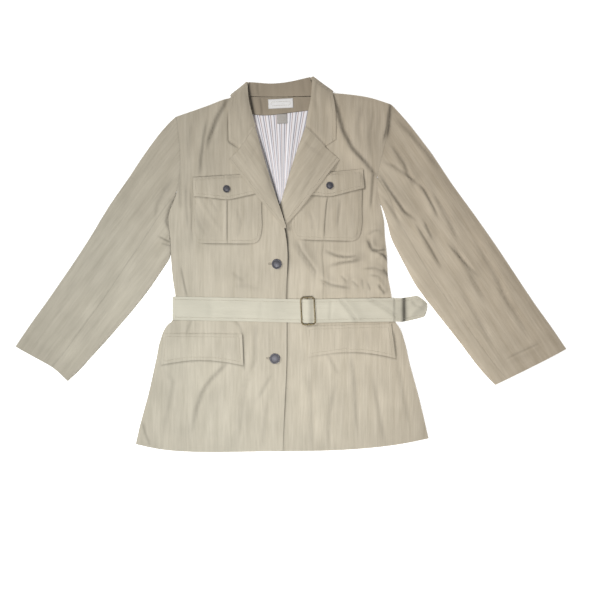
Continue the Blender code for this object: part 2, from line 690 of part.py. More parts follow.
def sleeve(side, rows, armhole, cuff, seam_at, folds):
    """Upper sleeve on top; under sleeve on the table, turned up round the inner edge to the seam."""
    sign = -1 if side == "right" else 1
    shift = np.array([sign * ARMHOLE_GAP, 0.0])
    down = row_places(rows, SLEEVE_SPACING)
    count = len(down)

    def at(share):
        top = smooth(armhole, len(share), share) + shift
        return plan(rows, down, share, top, smooth(cuff, len(share), share))

    def lifted(grid, share):
        whole = at(np.array([0.0, 1.0]))
        width = np.linalg.norm(whole[:, 1] - whole[:, 0], axis=1)[:, None]
        outer = round_off(share * width, EDGE_ROUND)
        inner = round_off((1 - share) * width, EDGE_ROUND)
        puff = np.maximum(PUFF + relief(folds, grid), 0.3)
        return SHELL + LAY + puff * outer * inner

    seam = seam_at[0] + (seam_at[1] - seam_at[0]) * down
    whole = at(np.array([0.0, 1.0]))
    width = np.linalg.norm(whole[:, 1] - whole[:, 0], axis=1)

    k = spread(10, 0.4)
    share = k[None] * (seam - SEAM / 2 / width)[:, None]
    fine = np.linspace(0, 1, 61)
    fine_plan = at(fine)

    def taken(share):
        picked = [
            [np.interp(share[i], fine, fine_plan[i, :, axis]) for axis in range(2)] for i in range(count)
        ]
        return np.array(picked).transpose(0, 2, 1)

    grid = taken(share)
    sheet("sleeve_upper_" + side, np.dstack([grid, lifted(grid, share)]), SHELL, KHAKI)

    turn = SHELL / 2 + 0.6
    start = 1 - TURN_IN / width
    bottom = spread(20, 0.2)[None] * start[:, None]
    low_grid = taken(bottom)
    low = np.dstack([low_grid, np.full(low_grid.shape[:2], SHELL / 2)])
    inner = taken(start[:, None])[:, 0]
    edge = taken(np.ones((count, 1)))[:, 0]
    out = (edge - inner) / np.linalg.norm(edge - inner, axis=1)[:, None]
    arcs = []
    for angle in (-45, 0, 45):
        place = inner + out * (TURN_IN - turn + turn * math.cos(math.radians(angle)))
        height = SHELL / 2 + turn + turn * math.sin(math.radians(angle))
        arcs.append(np.column_stack([place, np.full(count, height)]))
    arcs = np.stack(arcs, axis=1)
    k = np.array([0.0, 0.12, 0.3, 0.6, 1.0])
    finish_at = seam + SEAM / 2 / width
    share = start[:, None] * (1 - k)[None] + finish_at[:, None] * k[None]
    top_grid = taken(share)
    rise = lifted(top_grid, share) + SHELL / 2
    upper = np.dstack([top_grid, np.maximum(rise, SHELL / 2 + 2 * turn)])
    sheet("sleeve_under_" + side, np.concatenate([low, arcs, upper], axis=1), SHELL, KHAKI, 0.0)


armhole = armhole_of(FRONT_RIGHT, ARMPIT_RIGHT)
sleeve("right", SLEEVE_RIGHT, armhole, CUFF_RIGHT, SEAM_AT_RIGHT, SLEEVE_RIGHT_FOLDS)
armhole = armhole_of(FRONT_LEFT, ARMPIT_LEFT)
sleeve("left", SLEEVE_LEFT, armhole, CUFF_LEFT, SEAM_AT_LEFT, SLEEVE_LEFT_FOLDS)


# Hip flaps
def hip_flap(side, flap, front):
    """Plain flap with an arched lower edge."""
    u = np.array([0.0, 0.03, 0.12, 0.28, 0.42, 0.58, 0.72, 0.88, 0.97, 1.0])
    drop = flap.drop_right * (1 - u) + flap.drop_left * u - flap.arch * np.sin(math.pi * u)
    rows = np.array([0.0, 0.06, 0.3, 0.6, 0.93, 1.0])
    local = np.dstack([
        (2 * u - 1)[None] * (flap.half - HIP_FLARE * (1 - rows[:, None])) + flap.shear * rows[:, None],
        rows[:, None] * drop[None],
    ])
    points = lay(placed(local, flap), 0.0, [front], 8.0)
    points[..., 2] += 0.5 * np.sin(math.pi * rows)[:, None] * np.sin(math.pi * np.clip(u, 0.05, 0.95))[None]
    sheet("hip_flap_" + side, points, SHELL, KHAKI)


hip_flap("right", HIP_RIGHT, "front_right")
hip_flap("left", HIP_LEFT, "front_left")


# Belt: from the bar round the left side, under the back, round the right side and out to the free end
def belt_rest(x, names):
    """Height on which the belt lies at x: the highest cloth across its width."""
    y = float(belt_line(x))
    tops = [top_of(names, x, y + share * BELT_WIDTH, 8.0) for share in (-0.5, -0.25, 0.0, 0.25, 0.5)]
    return max(top for top in tops if top is not None) + LAY + BELT_THICK / 2


def settle(heights):
    """Straighten a run of heights without letting it sink."""
    heights = np.array(heights)
    for _ in range(4):
        padded = np.pad(heights, 1, mode="edge")
        heights = np.maximum(heights, (padded[:-2] + padded[2:]) / 2)
    return heights


fronts = ["front_left", "front_right"]
low_z = BELT_THICK / 2
left_side, right_side = BELT_FRONT[0].x, BELT_FRONT[-1].x
bar_z_rest = belt_rest(BUCKLE_X, fronts)

under_x = np.linspace(BUCKLE_X + 5.0, right_side + 1.0, 14)
under_z = settle([belt_rest(min(x, right_side - 4), fronts) for x in under_x])
front_x = np.linspace(left_side - 1.0, BUCKLE_X - WEAVE_REACH, 19)
front_z = settle([belt_rest(max(x, left_side + 4), fronts) for x in front_x])
bar_z = bar_z_rest - BELT_THICK / 2 + 2 * BELT_THICK + 2 * LAY + BUCKLE_WIRE + 0.3
under_wire = bar_z - BUCKLE_WIRE - LAY - BELT_THICK / 2 - 0.1
over_bar = bar_z + BUCKLE_BAR + LAY + BELT_THICK / 2
weave = [
    (BUCKLE_X - 18.0, under_wire),
    (BUCKLE_X - 10.5, under_wire),
    (BUCKLE_X - 4.0, over_bar - 0.8),
    (BUCKLE_X, over_bar),
    (BUCKLE_X + 4.0, over_bar - 0.8),
    (BUCKLE_X + 10.5, under_wire),
    (BUCKLE_X + 18.0, under_wire),
]
tail_x = np.linspace(BUCKLE_X + WEAVE_REACH, right_side + 1.0, 12)
tail_z = np.interp(tail_x, under_x, under_z) + BELT_THICK + LAY + 0.1
stations = [(x, float(belt_line(x)), z, BELT_WIDTH / 2) for x, z in zip(under_x, under_z)]


def wrap(x, top, outward, downward):
    """Half round of belt stations about a side edge of the jacket."""
    radius = (top - low_z) / 2
    angles = np.linspace(90, -90, BELT_WRAP_STEPS + 2)[1:-1]
    turned = [
        (x + outward * radius * math.cos(math.radians(a)), float(belt_line(x)),
         low_z + radius + radius * math.sin(math.radians(a)), BELT_WIDTH / 2)
        for a in angles
    ]
    return turned if downward else turned[::-1]


stations += wrap(right_side + 1.0, under_z[-1], 1, True)
back_x = np.linspace(right_side + 1.0, left_side - 1.0, 13)
stations += [(x, float(belt_line(x)), low_z, BELT_WIDTH / 2) for x in back_x]
stations += wrap(left_side - 1.0, front_z[0], -1, False)
stations += [(x, float(belt_line(x)), z, BELT_WIDTH / 2) for x, z in zip(front_x, front_z)]
stations += [(x, float(belt_line(x)), z, BELT_WIDTH / 2) for x, z in weave]
stations += [(x, float(belt_line(x)), z, BELT_WIDTH / 2) for x, z in zip(tail_x, tail_z)]
stations += [(row.x, row.y, row.lift, row.half) for row in BELT_TAIL]
belt_points = np.array([
    [(x, y + share * half, z) for share in (1.0, 0.86, 0.0, -0.86, -1.0)] for x, y, z, half in stations
])
sheet("belt", belt_points, BELT_THICK, BELT_CLOTH, 0.0)


# Buckle
def tube(path, radius, sides, closed):
    """Round wire along a path of points."""
    edit = bmesh.new()
    count = len(path)
    rings = []
    for k, place in enumerate(path):
        ahead = path[(k + 1) % count] - path[k - 1] if closed or 0 < k < count - 1 else path[-1] - path[0]
        ahead = ahead.normalized()
        across = ahead.cross(Vector((0, 0, 1))).normalized()
        ring = []
        for turn in range(sides):
            angle = 2 * math.pi * turn / sides
            ring.append(edit.verts.new((place + across * radius * math.cos(angle)
                                        + Vector((0, 0, 1)) * radius * math.sin(angle)) * MM))
        rings.append(ring)
    for k in range(count if closed else count - 1):
        one, two = rings[k], rings[(k + 1) % count]
        for turn in range(sides):
            edit.faces.new((one[turn], one[(turn + 1) % sides], two[(turn + 1) % sides], two[turn]))
    if not closed:
        edit.faces.new(rings[0])
        edit.faces.new(rings[-1])
    bmesh.ops.recalc_face_normals(edit, faces=edit.faces[:])
    return edit


def on_buckle(x, y):
    """Place on the buckle's plane, tilted a little in plan."""
    return Vector((
        BUCKLE_X + x * math.cos(BUCKLE_TILT) - y * math.sin(BUCKLE_TILT),
        BUCKLE_Y + x * math.sin(BUCKLE_TILT) + y * math.cos(BUCKLE_TILT),
        bar_z,
    ))


frame_path = []
half_x = BUCKLE_WIDTH / 2 - BUCKLE_WIRE - BUCKLE_CORNER
half_y = BUCKLE_HEIGHT / 2 - BUCKLE_WIRE - BUCKLE_CORNER
for corner, (sx, sy) in enumerate(((1, 1), (-1, 1), (-1, -1), (1, -1))):
    for step in range(4):
        angle = math.radians(90 * corner + 30 * step)
        x = sx * half_x + BUCKLE_CORNER * math.cos(angle)
        y = sy * half_y + BUCKLE_CORNER * math.sin(angle)
        frame_path.append(on_buckle(x, y))
buckle = finish("buckle", tube(frame_path, BUCKLE_WIRE, 8, True), METAL, 1.0, 0.4)
bar_half = BUCKLE_HEIGHT / 2 - BUCKLE_WIRE
bar_edit = tube([on_buckle(0, -bar_half), on_buckle(0, bar_half)], BUCKLE_BAR, 8, False)
bar = finish("buckle_bar_form", bar_edit, METAL)
bar.hide_render = True
bar.display_type = "WIRE"
join = buckle.modifiers.new("bar", "BOOLEAN")
join.operation = "UNION"
join.solver = "EXACT"
join.object = bar


# Buttons
def button(name, size, place):
    """Domed button turned about its shank, set on the cloth."""
    under = [piece for piece in trees if piece.startswith(("front", "chest_flap"))]
    rest = top_of(under, place.x, place.y, 0.3 * size) + LAY
    edit = bmesh.new()
    spine = [
        edit.verts.new(Vector((row.radius * size / 2, 0, row.height)) * MM) for row in BUTTON_PROFILE
    ]
    lines = [edit.edges.new((spine[k], spine[k + 1])) for k in range(len(spine) - 1)]
    bmesh.ops.spin(edit, geom=spine + lines, axis=(0, 0, 1), cent=(0, 0, 0), angle=2 * math.pi,
                   steps=BUTTON_SIDES, use_merge=True)
    bmesh.ops.remove_doubles(edit, verts=edit.verts[:], dist=1e-6)
    bmesh.ops.recalc_face_normals(edit, faces=edit.faces[:])
    bmesh.ops.translate(edit, verts=edit.verts[:], vec=Vector((place.x, place.y, rest)) * MM)
    finish(name, edit, METAL, 1.0, 0.4)


for button_name, (button_size, button_place) in BUTTONS.items():
    button(button_name, button_size, button_place)

# The middle of the whole jacket goes over the origin
bpy.context.view_layer.update()
graph = bpy.context.evaluated_depsgraph_get()
shown = [made.evaluated_get(graph) for made in bpy.data.objects if not made.hide_render]
corners = np.array([tuple(corner) for made in shown for corner in made.bound_box])
middle = (corners.min(axis=0) + corners.max(axis=0)) / 2
for made in bpy.data.objects:
    made.data.transform(Matrix.Translation((-middle[0], -middle[1], 0.0)))
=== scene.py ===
import math
from collections import namedtuple

import bmesh
import bpy
import numpy as np
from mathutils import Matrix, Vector
from mathutils.bvhtree import BVHTree
from mathutils.geometry import delaunay_2d_cdt
from mathutils.kdtree import KDTree


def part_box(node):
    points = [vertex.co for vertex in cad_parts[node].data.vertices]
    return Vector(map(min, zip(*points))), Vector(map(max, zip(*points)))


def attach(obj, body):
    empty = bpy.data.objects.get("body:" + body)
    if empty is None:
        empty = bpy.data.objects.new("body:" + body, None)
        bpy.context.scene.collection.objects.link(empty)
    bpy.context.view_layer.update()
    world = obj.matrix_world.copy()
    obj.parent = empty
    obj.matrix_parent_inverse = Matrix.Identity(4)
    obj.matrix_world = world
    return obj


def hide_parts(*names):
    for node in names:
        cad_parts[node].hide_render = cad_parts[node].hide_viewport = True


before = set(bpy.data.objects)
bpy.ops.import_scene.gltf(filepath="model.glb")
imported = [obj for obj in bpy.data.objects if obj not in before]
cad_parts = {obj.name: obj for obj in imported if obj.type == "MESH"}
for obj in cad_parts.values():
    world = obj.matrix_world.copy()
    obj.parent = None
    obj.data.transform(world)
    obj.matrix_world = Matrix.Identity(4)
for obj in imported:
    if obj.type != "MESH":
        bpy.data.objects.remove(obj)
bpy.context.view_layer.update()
bpy.ops.object.select_all(action="DESELECT")

# Back panel: one piece of khaki slubby cloth from shoulders to hem, the lowest layer of the jacket.
# It lies on the table, rises a little over the belt and the collar beneath it, and carries the rest.
MM = 0.001
SKY = 0.2
DOWN = Vector((0.0, 0.0, -1.0))
BACK_STEP = 7.0 * MM
BACK_WALL = 1.4 * MM
CORNER_ANGLE = math.radians(48)
CORNER_WINDOW = 9.0 * MM
LEAST_TILT = 0.25
LAY_GAP = 0.25 * MM
FAR_FROM_SEWING = 100.0

SOFT_SIDE = 3.0
FOLD_PITCH = 2.2 * MM
EDGE_DROP = 0.6 * MM
EDGE_ROUND = 2.4 * MM
# The shade values below are painted into the cloth's colour: dark in the folds' hollows, along seams, and as
# shadow lines beside the edges of pieces lying on others.
CREASE_SHADE = 0.36
SEAM_REACH = 1.6 * MM
SEAM_SETTLE = 8.0 * MM
SEAM_SHADE = 0.2
SEAM_LINE = 1.2 * MM
EDGE_SHADE, EDGE_LINE = 0.34, 1.8
EDGE_SHIFT = (0.7, -1.5)

Fold = namedtuple("Fold", "height width lean path")
Ridge = namedtuple("Ridge", "height width path")
# A Gap is only a painted shadow line in the colour, with no height.
Gap = namedtuple("Gap", "shade width path")
tops = {}
outlines = {}
sewing = {}
seams = {}


def cad_tree(node):
    """Search tree of a node's solid."""
    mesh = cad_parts[node].data
    corners = [vert.co for vert in mesh.vertices]
    return BVHTree.FromPolygons(corners, [tuple(face.vertices) for face in mesh.polygons])


def skin_loops(node, facing=1, above=-1.0, below=1.0):
    """Edges of the parts of a node's wall that face up (1) or down (-1), the longest first."""
    edit = bmesh.new()
    edit.from_mesh(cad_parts[node].data)
    bmesh.ops.remove_doubles(edit, verts=edit.verts[:], dist=1e-6)
    edit.normal_update()
    edit.verts.index_update()
    edit.faces.index_update()
    on_skin = [
        face.normal.z * facing > LEAST_TILT and above < face.calc_center_median().z < below
        for face in edit.faces
    ]
    ahead = {}
    for face in edit.faces:
        if not on_skin[face.index]:
            continue
        for corner in face.loops:
            if not any(on_skin[other.index] for other in corner.edge.link_faces if other is not face):
                ahead.setdefault(corner.vert.index, []).append(corner.link_loop_next.vert.index)
    places = np.array([vert.co for vert in edit.verts])
    edit.free()
    loops = []
    while ahead:
        vert = min(ahead)
        loop = []
        while vert in ahead:
            following = ahead[vert].pop()
            if not ahead[vert]:
                del ahead[vert]
            loop.append(vert)
            vert = following
        loops.append(places[loop])
    around = [np.linalg.norm(loop - np.roll(loop, 1, axis=0), axis=1).sum() for loop in loops]
    return [loops[k] for k in np.argsort(around)[::-1]]


def even_outline(loop, step, rounds=10):
    """An edge in even steps: corners stay, facets between them are rounded off. Also the corners' numbers."""
    closed = np.vstack([loop, loop[:1]])
    run = np.concatenate([[0.0], np.cumsum(np.linalg.norm(np.diff(closed[:, :2], axis=0), axis=1))])
    whole = run[-1]

    def at(along):
        return np.stack([np.interp(np.mod(along, whole), run, closed[:, k]) for k in range(3)], axis=-1)

    here = run[:-1]
    before = (at(here) - at(here - CORNER_WINDOW))[:, :2]
    after = (at(here + CORNER_WINDOW) - at(here))[:, :2]
    turn = np.abs(np.arctan2(
        before[:, 0] * after[:, 1] - before[:, 1] * after[:, 0], (before * after).sum(axis=1)
    ))
    corners = []
    for k in np.argsort(turn)[::-1]:
        apart = [abs((here[k] - other + whole / 2) % whole - whole / 2) for other in corners]
        if turn[k] > CORNER_ANGLE and all(gap > CORNER_WINDOW for gap in apart):
            corners.append(here[k])
    corners = sorted(corners) or [0.0]
    points, marks = [], []
    for first, last in zip(corners, corners[1:] + [corners[0] + whole]):
        line = at(np.linspace(first, last, max(2, round((last - first) / step)) + 1))
        for _ in range(rounds):
            line[1:-1] = (line[:-2] + 2 * line[1:-1] + line[2:]) / 4
        marks.append(len(points))
        points.extend(line[:-1])
    return np.array(points), marks


def under_edge(node):
    """The painted shadow line that a piece leaves on the piece it lies on, along its edge and away from the
    light.
    """
    outline = even_outline(skin_loops(node)[0], BACK_STEP)[0] / MM
    return Gap(EDGE_SHADE, EDGE_LINE, np.vstack([outline, outline[:1]])[:, :2] + EDGE_SHIFT)


def within(places, edge):
    """Whether places lie inside a closed edge."""
    x, y = places.T
    odd = np.zeros(len(places), bool)
    for (x1, y1), (x2, y2) in zip(edge, np.roll(edge, -1, axis=0)):
        if y1 != y2:
            odd ^= ((y1 > y) != (y2 > y)) & (x < x1 + (y - y1) * (x2 - x1) / (y2 - y1))
    return odd


def distance_to(edge, places):
    """Distance from each place to the nearest point of an edge."""
    near = KDTree(len(edge))
    for k, (x, y) in enumerate(edge):
        near.insert((x, y, 0.0), k)
    near.balance()
    return np.array([near.find((x, y, 0.0))[2] for x, y in places])


def beside(folds):
    """Places along and beside the folds, where the cloth bends most."""
    rows = [np.zeros((0, 2))]
    for fold in folds:
        path = np.array(fold.path, dtype=float) * MM
        run = np.concatenate([[0.0], np.cumsum(np.linalg.norm(np.diff(path, axis=0), axis=1))])
        along = np.arange(0.0, run[-1], FOLD_PITCH)
        line = np.column_stack([np.interp(along, run, path[:, 0]), np.interp(along, run, path[:, 1])])
        ahead = np.gradient(line, axis=0)
        aside = np.column_stack([-ahead[:, 1], ahead[:, 0]]) / np.linalg.norm(ahead, axis=1)[:, None]
        rows += [line + share * fold.width * MM * aside for share in (-1.0, -0.5, 0.0, 0.5, 1.0)]
    rows = np.concatenate(rows)
    cells = np.unique(np.round(rows / (0.5 * FOLD_PITCH)), axis=0, return_index=True)[1]
    return rows[np.sort(cells)]


def fill(edge, step, folds=()):
    """Places and triangles inside an edge: first the edge's points, then rows by the folds and a grid."""
    low, high = edge.min(axis=0), edge.max(axis=0)
    rows = np.arange(low[1] + step / 2, high[1], step * math.sqrt(0.75))
    grid = np.concatenate([
        np.stack(np.meshgrid(np.arange(low[0] + step * (0.25 + 0.5 * (k % 2)), high[0], step), y), axis=2)[0]
        for k, y in enumerate(rows)
    ])
    closer = beside(folds)
    if len(closer):
        grid = np.concatenate([closer, grid[distance_to(closer, grid) > 0.6 * step]])
    grid = grid[within(grid, edge)]
    grid = grid[distance_to(edge, grid) > 0.6 * step]
    places = np.concatenate([edge, grid])
    ring = list(range(len(edge)))
    made = delaunay_2d_cdt([Vector(place) for place in places / MM], [], [ring], 1, 1e-4, True)
    places, faces = np.array(made[0]) * MM, np.array([tuple(face) for face in made[2]])
    return places, [tuple(face) for face in faces[within(places[faces].mean(axis=1), edge)].tolist()]


def links_of(faces):
    """Pairs of neighbouring points."""
    faces = np.array(faces)
    pairs = np.concatenate([faces[:, [0, 1]], faces[:, [1, 2]], faces[:, [2, 0]]])
    return np.unique(np.sort(pairs, axis=1), axis=0)


def relax(heights, links, rounds, held):
    """Heights evened out between neighbours, apart from the first ones, which are held."""
    one, two = links.T
    count = len(heights)
    beside = np.bincount(one, minlength=count) + np.bincount(two, minlength=count)
    free = np.arange(count) >= held
    for _ in range(rounds):
        mean = np.bincount(one, heights[two], count) + np.bincount(two, heights[one], count)
        heights = np.where(free, (heights + mean / np.maximum(beside, 1)) / 2, heights)
    return heights


def ease(value, start, end):
    """0 before start, 1 after end, smooth between."""
    k = np.clip((value - start) / (end - start), 0.0, 1.0)
    return k * k * (3 - 2 * k)


def beside_path(path, places):
    """Distance of places from a path, plus on its left, and the share of its run that is nearest to them."""
    path = np.array(path, dtype=float) * MM
    steps = np.diff(path, axis=0)
    lengths = np.linalg.norm(steps, axis=1)
    nearest = np.full(len(places), np.inf)
    side, along = np.zeros(len(places)), np.zeros(len(places))
    for k, step in enumerate(steps):
        off = places - path[k]
        share = np.clip(off @ step / lengths[k] ** 2, 0.0, 1.0)
        gap = np.linalg.norm(off - share[:, None] * step, axis=1)
        closer = gap < nearest
        nearest = np.where(closer, gap, nearest)
        side = np.where(closer, np.sign(step[0] * off[:, 1] - step[1] * off[:, 0]), side)
        along = np.where(closer, lengths[:k].sum() + share * lengths[k], along)
    return side * nearest, along / lengths.sum()


def relief(folds, places):
    """Height of the folds at places, and the shade painted into the colour in them. A fold is a valley
    between two crests: it leans to its left (+) or right until one crest alone is left, and its painted
    shade lies in the hollow. A ridge is one crest, and a gap only a painted shadow line, as under a
    cloth that stands off. All fade at their ends."""
    total = np.zeros(len(places))
    shade = np.zeros(len(places))
    for fold in folds:
        across, along = beside_path(fold.path, places)
        across /= fold.width * MM
        fade = ease(along, -0.06, 0.24) * (1 - ease(along, 0.74, 1.06))
        bell = fade * np.exp(-(across ** 2))
        if isinstance(fold, Ridge):
            total += bell * fold.height * MM
        elif isinstance(fold, Gap):
            shade = np.maximum(shade, bell * fold.shade)
        else:
            out = np.abs(across)
            out = np.where(out > 1, 1 + (out - 1) / SOFT_SIDE, out)
            share = np.where(across > 0, min(1.0, 1.0 + fold.lean), min(1.0, 1.0 - fold.lean))
            total += fade * share * out ** 2 * np.exp(1 - out ** 2) * fold.height * MM
            steep = CREASE_SHADE * min(1.3, fold.height / fold.width)
            hollow = np.exp(-(((across - 0.35 * np.sign(fold.lean)) / 0.6) ** 2))
            shade = np.maximum(shade, steep * fade * hollow)
    return total, shade


def on_top(tree, places, missing):
    """Height at which a plumb line first meets a piece, or the missing height."""
    heights = np.array(missing, dtype=float)
    for k, (x, y) in enumerate(places):
        hit = tree.ray_cast(Vector((x, y, SKY)), DOWN)[0]
        if hit is not None:
            heights[k] = hit.z
    return heights


def lifted(under, places, heights, wall, reach=2.5 * MM):
    """Heights raised so that the cloth's underside stays just above the pieces beneath it."""
    spots = [(0.0, 0.0)] + [
        (reach * math.cos(turn), reach * math.sin(turn)) for turn in np.linspace(0, 2 * math.pi, 7)[:-1]
    ]
    for name in under:
        tree, low, high = tops[name]
        near = np.flatnonzero(((places > low - reach) & (places < high + reach)).all(axis=1))
        for shift in spots:
            found = on_top(tree, places[near] + shift, np.full(len(near), -1.0))
            heights[near] = np.maximum(heights[near], found + wall + LAY_GAP)
    return heights


def cloth_object(name, points, faces, wall, grain, sewn, shade, low=0):
    """Mesh of a cloth's outer skin with its thickness: grain turns the weave, sewn is the way to stitched
    edges, shade is painted into the colour in the folds' hollows, along seams and beside the edges of
    pieces on top, and the first points, as many as low says, are those of a stretch that faces down."""
    mesh = bpy.data.meshes.new(name)
    mesh.from_pydata([tuple(point) for point in points], [], faces)
    turn = math.radians(grain)
    across = points[:, 0] * math.cos(turn) + points[:, 1] * math.sin(turn)
    along = points[:, 1] * math.cos(turn) - points[:, 0] * math.sin(turn)
    corner_verts = np.zeros(len(mesh.loops), np.int32)
    mesh.loops.foreach_get("vertex_index", corner_verts)
    weave = mesh.uv_layers.new(name="cloth")
    weave.data.foreach_set("uv", np.column_stack([across, along])[corner_verts].ravel())
    mesh.attributes.new("sewn", "FLOAT", "POINT").data.foreach_set("value", sewn)
    mesh.attributes.new("painted_crease_shade", "FLOAT", "POINT").data.foreach_set("value", shade)
    mesh.shade_smooth()
    corner_edges = np.zeros(len(mesh.loops), np.int32)
    mesh.loops.foreach_get("edge_index", corner_edges)
    rim = np.bincount(corner_edges, minlength=len(mesh.edges)) == 1
    mesh.attributes.new("sharp_edge", "BOOLEAN", "EDGE").data.foreach_set("value", rim)
    made = bpy.data.objects.new(name, mesh)
    bpy.context.scene.collection.objects.link(made)
    thickness = made.modifiers.new("wall", "SOLIDIFY")
    thickness.thickness = wall
    thickness.offset = -1.0
    upper = points.copy()
    upper[:low, 2] += wall
    tree = BVHTree.FromPolygons([Vector(point) for point in upper], faces)
    tops[name] = (tree, points[:, :2].min(axis=0), points[:, :2].max(axis=0))
    sewing[name] = (points, faces, sewn)
    return made


def side_between(marks, k, count):
    """Point numbers along the k-th side of an outline, both corners included."""
    first, last = marks[k], marks[(k + 1) % len(marks)]
    return [n % count for n in range(first, (last if last > first else last + count) + 1)]


def way_to_sewing(outline, marks, places, stitched):
    """Millimetres from places to the stitched sides of an outline, given by their numbers."""
    line = []
    for k in stitched:
        side = outline[side_between(marks, k, len(outline)), :2]
        line += [a + (b - a) * t for a, b in zip(side, side[1:]) for t in (0.0, 0.25, 0.5, 0.75)]
    if not line:
        return np.full(len(places), FAR_FROM_SEWING)
    return distance_to(np.array(line), places) / MM


def seamed(outline, neighbours):
    """An outline whose places close to a neighbour's edge are moved onto it, as two pieces are sewn together.
    Also the numbers of the moved places."""
    moved = []
    for edge in [edge for name in neighbours for edge in seams[name]]:
        steps = np.roll(edge, -1, axis=0) - edge
        for k, place in enumerate(outline):
            off = place[:2] - edge[:, :2]
            share = (off * steps[:, :2]).sum(axis=1) / np.maximum((steps[:, :2] ** 2).sum(axis=1), 1e-12)
            foot = edge + np.clip(share, 0.0, 1.0)[:, None] * steps
            gap = np.linalg.norm(foot[:, :2] - place[:2], axis=1)
            spot = foot[gap.argmin()]
            if gap.min() < SEAM_REACH and np.linalg.norm(spot[:2] - outline[k - 1, :2]) > 0.5 * MM:
                outline[k] = spot
                moved.append(k)
    return outline, sorted(set(moved))


def draped(tree, outline, moved, places, faces, wall, folds, under, rounds, drop):
    """Heights of a piece on its solid's skin, with its folds and the shade painted into the colour in
    them and along the seams where it is sewn on: rounded at the edge, clear of the pieces under it,
    level with its neighbour where it is sewn on, and never through the table."""
    held = len(outline)
    links = links_of(faces)
    heights = on_top(tree, places, np.full(len(places), np.median(outline[:, 2])))
    heights[:held] = outline[:, 2]
    rise, shade = relief(folds, places)
    heights = relax(heights, links, rounds, held) + rise
    heights -= drop * np.exp(-((distance_to(outline[:, :2], places) / EDGE_ROUND) ** 2))
    for _ in range(2):
        heights = lifted(under, places, heights, wall)
        heights = relax(heights, links, 2, 0)
    heights = lifted(under, places, heights, wall)
    if moved:
        near = KDTree(len(moved))
        for k, n in enumerate(moved):
            near.insert((*places[n], 0.0), k)
        near.balance()
        lacking = outline[moved, 2] - heights[moved]
        found = [near.find((x, y, 0.0)) for x, y in places]
        heights += np.array([lacking[k] * math.exp(-((gap / SEAM_SETTLE) ** 2)) for _, k, gap in found])
        shade = np.maximum(shade, [SEAM_SHADE * math.exp(-((gap / SEAM_LINE) ** 2)) for _, _, gap in found])
    return np.maximum(heights, wall), shade


def laid_cloth(
    name, node, step, wall, folds=(), under=(), grain=0.0, rounds=40, stitched=(), joined=(), drop=EDGE_DROP
):
    """A flat-lying piece on its solid's upper skin, stitched along some of its sides and sewn to others."""
    outline, marks = even_outline(skin_loops(node)[0], step)
    outline, moved = seamed(outline, joined)
    places, faces = fill(outline[:, :2], step, folds)
    heights, shade = draped(
        cad_tree(node), outline, moved, places, faces, wall, folds, under, rounds, drop
    )
    sides = range(len(marks)) if stitched == "all" else stitched
    sewn = way_to_sewing(outline, marks, places, sides)
    points = np.column_stack([places, heights])
    made = cloth_object(name, points, faces, wall, grain, sewn, shade)
    seams[name] = [points[:len(outline)]]
    outlines[name] = (outline, marks, grain)
    return made


def flat_area(edge):
    """Area inside an edge."""
    x, y = edge[:, 0], edge[:, 1]
    return abs((x * np.roll(y, -1) - y * np.roll(x, -1)).sum()) / 2


def flat_size(edge, grain):
    """Width across the grain and length along it."""
    turn = math.radians(grain)
    across = edge[:, 0] * math.cos(turn) + edge[:, 1] * math.sin(turn)
    along = edge[:, 1] * math.cos(turn) - edge[:, 0] * math.sin(turn)
    return float(np.ptp(across)), float(np.ptp(along))


def declare(made, node, cut=None):
    """The piece stands for its node: it hangs from the root and the node is hidden. A cut that is not
    given is worked out from the outline, and then not used.
    """
    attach(made, "root")
    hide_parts(node)
    if cut is None:
        outline, _, grain = outlines[made.name]
        cut = flat_size(outline, grain)


def linear(colour):
    """An sRGB hex colour as linear RGBA."""
    parts = [int(colour[k:k + 2], 16) / 255 for k in (1, 3, 5)]
    return tuple(((c + 0.055) / 1.055) ** 2.4 if c > 0.04045 else c / 12.92 for c in parts) + (1.0,)


def add(tree, kind, inputs=None, **settings):
    """One node with its settings: an input given as a socket is linked, another is set."""
    node = tree.nodes.new(kind)
    for key, value in settings.items():
        setattr(node, key, value)
    for key, value in (inputs or {}).items():
        if isinstance(value, bpy.types.NodeSocket):
            tree.links.new(value, node.inputs[key])
        else:
            node.inputs[key].default_value = value
    return node


def new_finish(name):
    """An empty material with its shader."""
    finish = bpy.data.materials.new(name)
    finish.use_nodes = True
    return finish, finish.node_tree, finish.node_tree.nodes["Principled BSDF"]


# Slubby plain weave: thick and thin warp threads give upright streaks, and wear has left it softly crinkled.
SLUB_WIDTH, SLUB_LENGTH = 4.2 * MM, 60.0 * MM
STREAK_WIDTH, STREAK_LENGTH = 15.0 * MM, 190.0 * MM
MOTTLE = 75.0 * MM
THREAD = 1.3 * MM
STITCH_INSET = 6.0
GROOVE = 1.3


